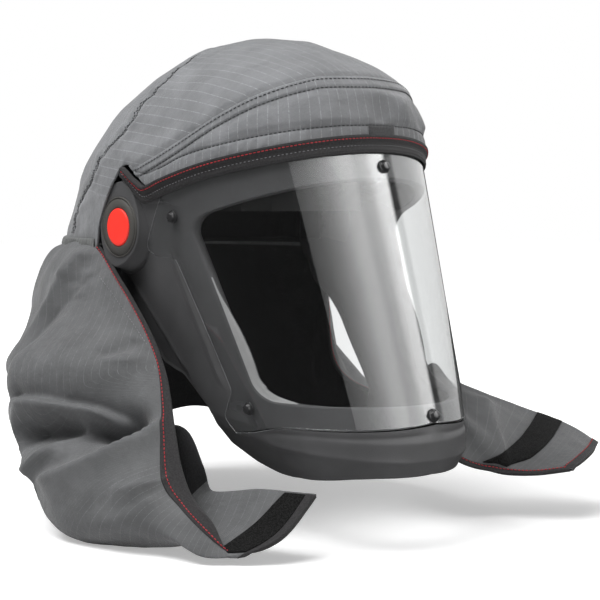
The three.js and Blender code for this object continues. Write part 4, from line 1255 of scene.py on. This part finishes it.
def bib_line(places, lift):
    """A stitch line on the bib's outer face through places of section and depth."""
    spots = np.array(places, float)
    step = np.linspace(0, len(spots) - 1, 300)
    base, out = bib_detail(*(np.interp(step, np.arange(len(spots)), spots[:, k]) for k in range(2)))
    return base + out * lift, out


# Visor
def rounded(count, level, side):
    """Loop round a square from (-1, -1) to (1, 1) with rounded corners: top, right, bottom, left."""
    t = (np.arange(count) + 0.5) / count * 2 - 1
    one = np.ones(count)
    x, y = np.concatenate([t, one, -t, -one]), np.concatenate([-one, t, one, -t])
    corner = np.maximum(np.abs(x) - (1 - level), 0) / level, np.maximum(np.abs(y) - (1 - side), 0) / side
    long = np.hypot(*corner)
    pull = np.where((corner[0] > 0) & (corner[1] > 0), np.maximum(*corner) / np.maximum(long, 1e-9), 1)
    x = np.where(corner[0] > 0, np.sign(x) * (1 - level + level * corner[0] * pull), x)
    y = np.where(corner[1] > 0, np.sign(y) * (1 - side + side * corner[1] * pull), y)
    return np.stack([x, y], -1)


def frame_loops(count):
    """Window outline and outer outline of the frame, point for point, as angle and place."""
    turn = rounded(count, WINDOW["level_round"], WINDOW["side_round"])
    middle = (WINDOW["top"] + WINDOW["bottom"]) / 2
    tall = (WINDOW["bottom"] - WINDOW["top"]) / 2
    window = np.stack([turn[:, 0] * WINDOW["angle"], middle + turn[:, 1] * tall], -1)
    t = (np.arange(count) + 0.5) / count * 2 - 1
    corner = FRAME_CORNERS
    wide = t * corner["top_angle"]
    top = np.stack([wide, lookup(FRAME_TOP, "angle", np.abs(wide), "at")], -1)
    deep = corner["top_at"] + (t + 1) / 2 * (corner["bottom_at"] - corner["top_at"])
    rear = lookup(FRAME_REAR, "at", deep, "angle")
    left = np.stack([rear - lookup(ARM_TRIM, "at", deep, "less"), deep], -1)
    wide = -t * corner["bottom_angle"]
    bottom = np.stack([wide, lookup(FRAME_BOTTOM, "angle", np.abs(wide), "at")], -1)
    right = np.stack([-rear - lookup(ARM_RETURN, "at", deep, "more"), deep], -1)[::-1]
    return window, np.concatenate([top, left, bottom, right])


def frame_relief(angle, at):
    """Height of the arm's return and of the lines moulded in the frame."""
    beyond = np.maximum(np.abs(angle) - lookup(ARM_RIDGE, "at", at, "angle"), 0) * ARM_DEGREE
    slope = -RETURN_SLOPE * beyond * smooth(at, 0, 0.14) * smooth(at, 0.95, 0.88)
    return slope + fold_height(FRAME_MARKS, np.abs(angle), at, MARK_SCALE, MARK_TIP, MARK_BLUNT)


def lip_lean(window):
    """How far the inner lip leans into the window at each point of its outline, in mm."""
    up = (WINDOW["bottom"] - window[:, 1]) * VISOR_TALL
    side = (WINDOW["angle"] - np.abs(window[:, 0])) * ARM_DEGREE
    return np.where(side < up, lookup(LIP_UP, "far", up, "lean"), lookup(LIP_ALONG, "far", side, "lean"))


def make_frame(materials):
    """The frame as rings of points round the window; the leaning lip has the second material."""
    window, edge = frame_loops(FRAME_SIDE)
    lean = lip_lean(window)
    wide = np.linalg.norm((edge - window) * (ARM_DEGREE, VISOR_TALL), axis=1)
    points = []
    for share, depth, leaning in FRAME_RINGS:
        inward = (share + leaning * lean / wide)[:, None]
        angle, at = (edge * (1 - inward) + window * inward).T
        relief = frame_relief(angle, at) if depth <= FRAME_DROP else 0
        points.append(lifted(frame_surface, angle, at, relief - depth, -1))
    loop = 4 * FRAME_SIDE
    faces, marks = [], []
    for j, (_, _, leaning) in enumerate(FRAME_RINGS):
        k = (j + 1) % len(FRAME_RINGS)
        for i in range(loop):
            m = (i + 1) % loop
            faces.append((j * loop + i, k * loop + i, k * loop + m, j * loop + m))
            marks.append(1 if FRAME_RINGS[k][2] > leaning and lean[i] > 0.3 else 0)
    piece = closed("visor_frame_moulding", np.concatenate(points), faces, mark=marks)
    return dress(piece, "frame_plastic", *materials, node="visor_frame")


def to_side(points, side):
    """Points made with the boss face at x = 0 and +X outwards, moved to their side of the hood."""
    points = np.asarray(points, float)
    turn = side * PIVOT_TURN + (math.pi if side < 0 else 0)
    x = points[:, 0] * math.cos(turn) - points[:, 1] * math.sin(turn)
    y = points[:, 0] * math.sin(turn) + points[:, 1] * math.cos(turn)
    return np.stack([x + side * BOSS["outer"], y, points[:, 2]], -1)


def make_boss(word, side, material):
    """Egg-shaped boss with a flat face and a skirt that widens down to the arm."""
    count = len(BOSS_OUTLINE)
    control = np.array([BOSS_OUTLINE[k % count] + (0,) for k in range(-2, count + 3)], float)
    loop = spline(control, 2 + np.linspace(0, count, 120, endpoint=False))[:, :2]
    far = np.linalg.norm(loop, axis=1, keepdims=True)
    deep = BOSS["outer"] - BOSS["inner"]
    bend, skirt = BOSS["round"], BOSS["skirt"]
    rings = [(-20, -deep), (skirt, -deep), (0.5 * skirt, -0.72 * deep), (0.2 * skirt, -0.42 * deep)]
    rings += [(0.2, -2 * bend)]
    rings += [(bend * (math.cos(t) - 1), bend * (math.sin(t) - 1)) for t in np.linspace(0, math.pi / 2, 7)]
    rings += [(-10, 0)]
    points = []
    for outset, height in rings:
        ring = loop * (1 + outset / far)
        points.append(np.stack([np.full(len(ring), height), -side * ring[:, 0], ring[:, 1]], -1))
    faces = grid_faces(len(rings) - 1, len(loop), True)
    faces.append(tuple(range(len(loop))))
    faces.append(tuple((len(rings) - 1) * len(loop) + i for i in range(len(loop))))
    piece = closed(f"pivot_boss_{word}", to_side(np.concatenate(points), side), faces)
    return dress(piece, "frame_plastic", material)


def make_round(node, form, slot, profile, lift, side, material):
    """A turned disc or cap on a boss."""
    points, faces = lathe(profile, 96)
    points[:, 0] += lift
    piece = closed(f"{node}_{form}", to_side(points, side), faces)
    return dress(piece, slot, material, node=node)


def make_studs(material):
    """The heads of the lens studs."""
    for node, (angle, at) in STUDS.items():
        points, faces = lathe(STUD_PROFILE, 32)
        foot = lifted(visor, angle, at, STUD_LIFT, -1)
        out = normals(visor, np.float64(angle), np.float64(at), -1)
        side = unit(np.cross((0, 0, 1), out))
        up = np.cross(out, side)
        placed = foot + points[:, :1] * out + points[:, 1:2] * side + points[:, 2:] * up
        piece = closed(f"{node}_head", placed, faces)
        dress(piece, "stud_plastic", material, node=node)


def make_lens(materials):
    """Clear film over the window; its columns on the arms are fitted to its rear outline in rounds."""
    front, arm, rows = LENS_GRID["half"], LENS_GRID["arm"], LENS_GRID["rows"]
    half = front + arm
    column = np.arange(-half, half + 1)[None, :]
    down = np.linspace(0, 1, rows + 1)[:, None]
    edge = WINDOW["angle"]
    sweep = np.maximum(np.abs(column) - front, 0) / arm
    angle = np.broadcast_to(np.clip(column / front, -1, 1) * edge, (rows + 1, 2 * half + 1))
    for _ in range(LENS_GRID["rounds"]):
        top = lookup(LENS_TOP, "angle", np.abs(angle), "at")
        bottom = lookup(LENS_BOTTOM, "angle", np.abs(angle), "at")
        at = top + (bottom - top) * down
        rear = lookup(LENS_REAR, "at", at, "angle")
        angle = np.where(sweep > 0, np.sign(column) * (edge + sweep * (rear - edge)), angle)
    # Its rims get the second material, a painted highlight along the film's edges
    piece = laid_on("visor_lens_film", visor, -1, angle, at, LENS_LIFT, LENS_WALL, rims=(1, 1))
    piece.visible_shadow = False
    piece.visible_diffuse = False
    return dress(piece, "lens_film", *materials, node="visor_lens")


# The whole hood
def make_soft(looks):
    """The three cloths, the tapes on the brow and the tapes on the bib."""
    # inside is the near-black painted shade of the cloths' inner faces
    inside, tape = looks["inner_cloth"], looks["binding_tape"]
    crown_piece = make_crown((looks["hood_cloth"], inside))
    brow_piece = make_brow((looks["hood_cloth"], inside))
    bib_piece = make_bib((looks["bib_cloth"], inside))
    on_brow = [make_binding(tape), make_label(looks["label_cloth"])]
    on_bib = [make_elastic(looks["elastic_cloth"])]
    on_bib += [make_edge_tape(word, *EDGES[word], tape) for word in SIDES]
    on_bib += [make_end_tape(word, *ENDS[word], tape) for word in SIDES]
    on_bib += [make_strip(node, **strip, material=looks["hook_tape"]) for node, strip in STRIPS.items()]
    return crown_piece, brow_piece, bib_piece, on_brow, on_bib


def make_hard(looks):
    """The frame with its bosses, discs and caps, the lens and its studs."""
    make_frame((looks["frame_plastic"], looks["lip_plastic"]))
    for word, side in SIDES.items():
        make_boss(word, side, looks["frame_plastic"])
        for node, form, slot, profile, lift in (
            ("pivot_disc", "ring", "disc_plastic", DISC_PROFILE, DISC_LIFT),
            ("pivot_cap", "dome", "cap_plastic", CAP_PROFILE, CAP_LIFT),
        ):
            make_round(f"{node}_{word}", form, slot, profile, lift, side, looks[slot])
    make_lens((looks["lens_film"], looks["film_edge"]))
    make_studs(looks["stud_plastic"])


def make_stitching(looks):
    """Red and pale thread on the tapes and the bib, and dark thread on the crown."""
    red = [binding_line(BINDING_RED, 0.1)]
    red += [edge_line(*EDGE_STITCHES[word]) for word in SIDES]
    red += [bib_line(END_STITCH, EDGE_TAPE)]
    pale = [binding_line(BINDING_PALE, 0.05), bib_line(BIB_SEAM, 0.1)]
    dark = [brow_line(93, seam_z, 1.6), brow_line(90, seam_z, WELT), brow_line(80, hem_z, 0)]
    dark += [back_seam_line(side, shift) for side in SIDES.values() for shift in (0, BACK_SEAM_PAIR)]
    for name, lines, slot, thread in (
        ("red_stitching", red, "binding_tape", "red_thread"),
        ("pale_stitching", pale, "binding_tape", "pale_thread"),
        ("dark_stitching", dark, "hood_cloth", "grey_thread"),
    ):
        dress(stitches(name, lines, **STITCHES[name]), slot, looks[thread])


# Scene
def aimed(name, data, aim, azimuth, elevation, distance):
    """A camera or light that faces its aim from a direction, in metres and degrees from the front."""
    a, e = azimuth * DEG, elevation * DEG
    back = Vector((math.sin(a) * math.cos(e), -math.cos(a) * math.cos(e), math.sin(e)))
    item = link(name, data)
    item.location = Vector(aim) + back * distance
    item.rotation_euler = (-back).to_track_quat("-Z", "Y").to_euler()
    return item


def make_camera():
    """Camera at the photograph's angle."""
    data = bpy.data.cameras.new("camera")
    data.lens = CAMERA["lens"]
    data.sensor_width = SENSOR
    aim = Vector(CAMERA["aim"]) * MM
    camera = aimed("camera", data, aim, CAMERA["azimuth"], CAMERA["elevation"], CAMERA["distance"] * MM)
    bpy.context.scene.camera = camera


def make_lights():
    """Soft area lights."""
    for name, row in LIGHTS.items():
        data = bpy.data.lights.new(name, "AREA")
        data.shape = "RECTANGLE"
        data.size, data.size_y = row["size"]
        data.energy = row["power"]
        light = aimed(name, data, LIGHT_AIM, *row["place"])
        light.visible_glossy = row["shown"]


def make_card():
    """A curved glossy card that only reflections see, brighter and dimmer along its length."""
    azimuth = np.linspace(CARD["azimuth"][0], CARD["azimuth"][-1], CARD_COLUMNS + 1)
    x, y = CARD_REACH * np.sin(azimuth * DEG), -CARD_REACH * np.cos(azimuth * DEG)
    rows = [np.stack([x, y, np.full_like(x, CARD_REACH * math.tan(lift * DEG))], -1)
            for lift in (CARD_LOW, CARD_HIGH)]
    data = bpy.data.meshes.new("glossy_card")
    data.from_pydata(np.concatenate(rows).tolist(), [], grid_faces(1, CARD_COLUMNS, False))
    level = np.interp(azimuth, CARD["azimuth"], CARD["glow"])
    levels = np.concatenate([level * CARD_FOOT, level * np.interp(azimuth, *CARD_TOP)])
    glow = data.color_attributes.new("glow", "FLOAT_COLOR", "POINT")
    for spot, value in zip(glow.data, levels):
        spot.color = (value, value, value, 1)
    made = bpy.data.materials.new("card_glow")
    made.use_nodes = True
    n = Nodes(made)
    n.tree.nodes.clear()
    source = n.add("ShaderNodeAttribute", attribute_name="glow").outputs["Color"]
    light = n.add("ShaderNodeEmission", {"Color": source}).outputs[0]
    n.add("ShaderNodeOutputMaterial", {"Surface": light})
    data.materials.append(made)
    card = link("glossy_card", data)
    card.visible_camera = False
    card.visible_diffuse = False
    card.visible_shadow = False


def make_world():
    """White to the camera and through the lens, and dimmer as light and in reflections."""
    world = bpy.data.worlds.new("studio")
    bpy.context.scene.world = world
    world.use_nodes = True
    n = Nodes(world)
    path = n.add("ShaderNodeLightPath").outputs
    level = WORLD["seen"]
    for bounces, strength in (("Glossy Depth", WORLD["mirrored"]), ("Diffuse Depth", WORLD["light"])):
        bounced = n.math("GREATER_THAN", path[bounces], 0.5)
        level = n.add("ShaderNodeMix", {0: bounced, 2: level, 3: strength}).outputs[0]
    background = n.tree.nodes["Background"]
    n.put(background, "Color", (1, 1, 1, 1))
    n.put(background, "Strength", level)


def make_floor():
    """Pale floor that glows to the camera alone: painted light that lightens the hood's shadow on it and
    fades it to white away from the hood.
    """
    data = bpy.data.meshes.new("floor")
    corners = [(x * FLOOR_HALF, y * FLOOR_HALF, 0) for x, y in ((-1, -1), (1, -1), (1, 1), (-1, 1))]
    data.from_pydata(corners, [], [(0, 1, 2, 3)])
    floor = link("floor", data)
    floor.location.z = FLOOR_Z * MM
    made = new_material("floor_paint", (0.9, 0.9, 0.9), 0.7, Emission_Color=(1, 1, 1, 1))
    n = Nodes(made)
    reach = n.add("ShaderNodeVectorMath", {0: n.place()}, operation="LENGTH").outputs["Value"]
    seen = n.add("ShaderNodeLightPath").outputs["Is Camera Ray"]
    glow = n.ramp(reach, *(FLOOR_GLOW[key] for key in ("near", "far", "low", "high")))
    n.drive("Emission Strength", n.math("MULTIPLY", seen, glow))
    data.materials.append(made)
    floor.visible_glossy = False
    floor.visible_transmission = False


def main():
    """Builds the scene on the frame."""
    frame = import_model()
    looks = make_looks()
    sheets = make_soft(looks)
    make_hard(looks)
    make_stitching(looks)
    # The head band gets the near-black painted shade of the interior
    frame["nodes"]["head_band"].data.materials.clear()
    frame["nodes"]["head_band"].data.materials.append(looks["band_plastic"])
    make_camera()
    make_floor()
    make_card()
    make_world()
    make_lights()
    bpy.context.scene.view_settings.view_transform = "Standard"


main()
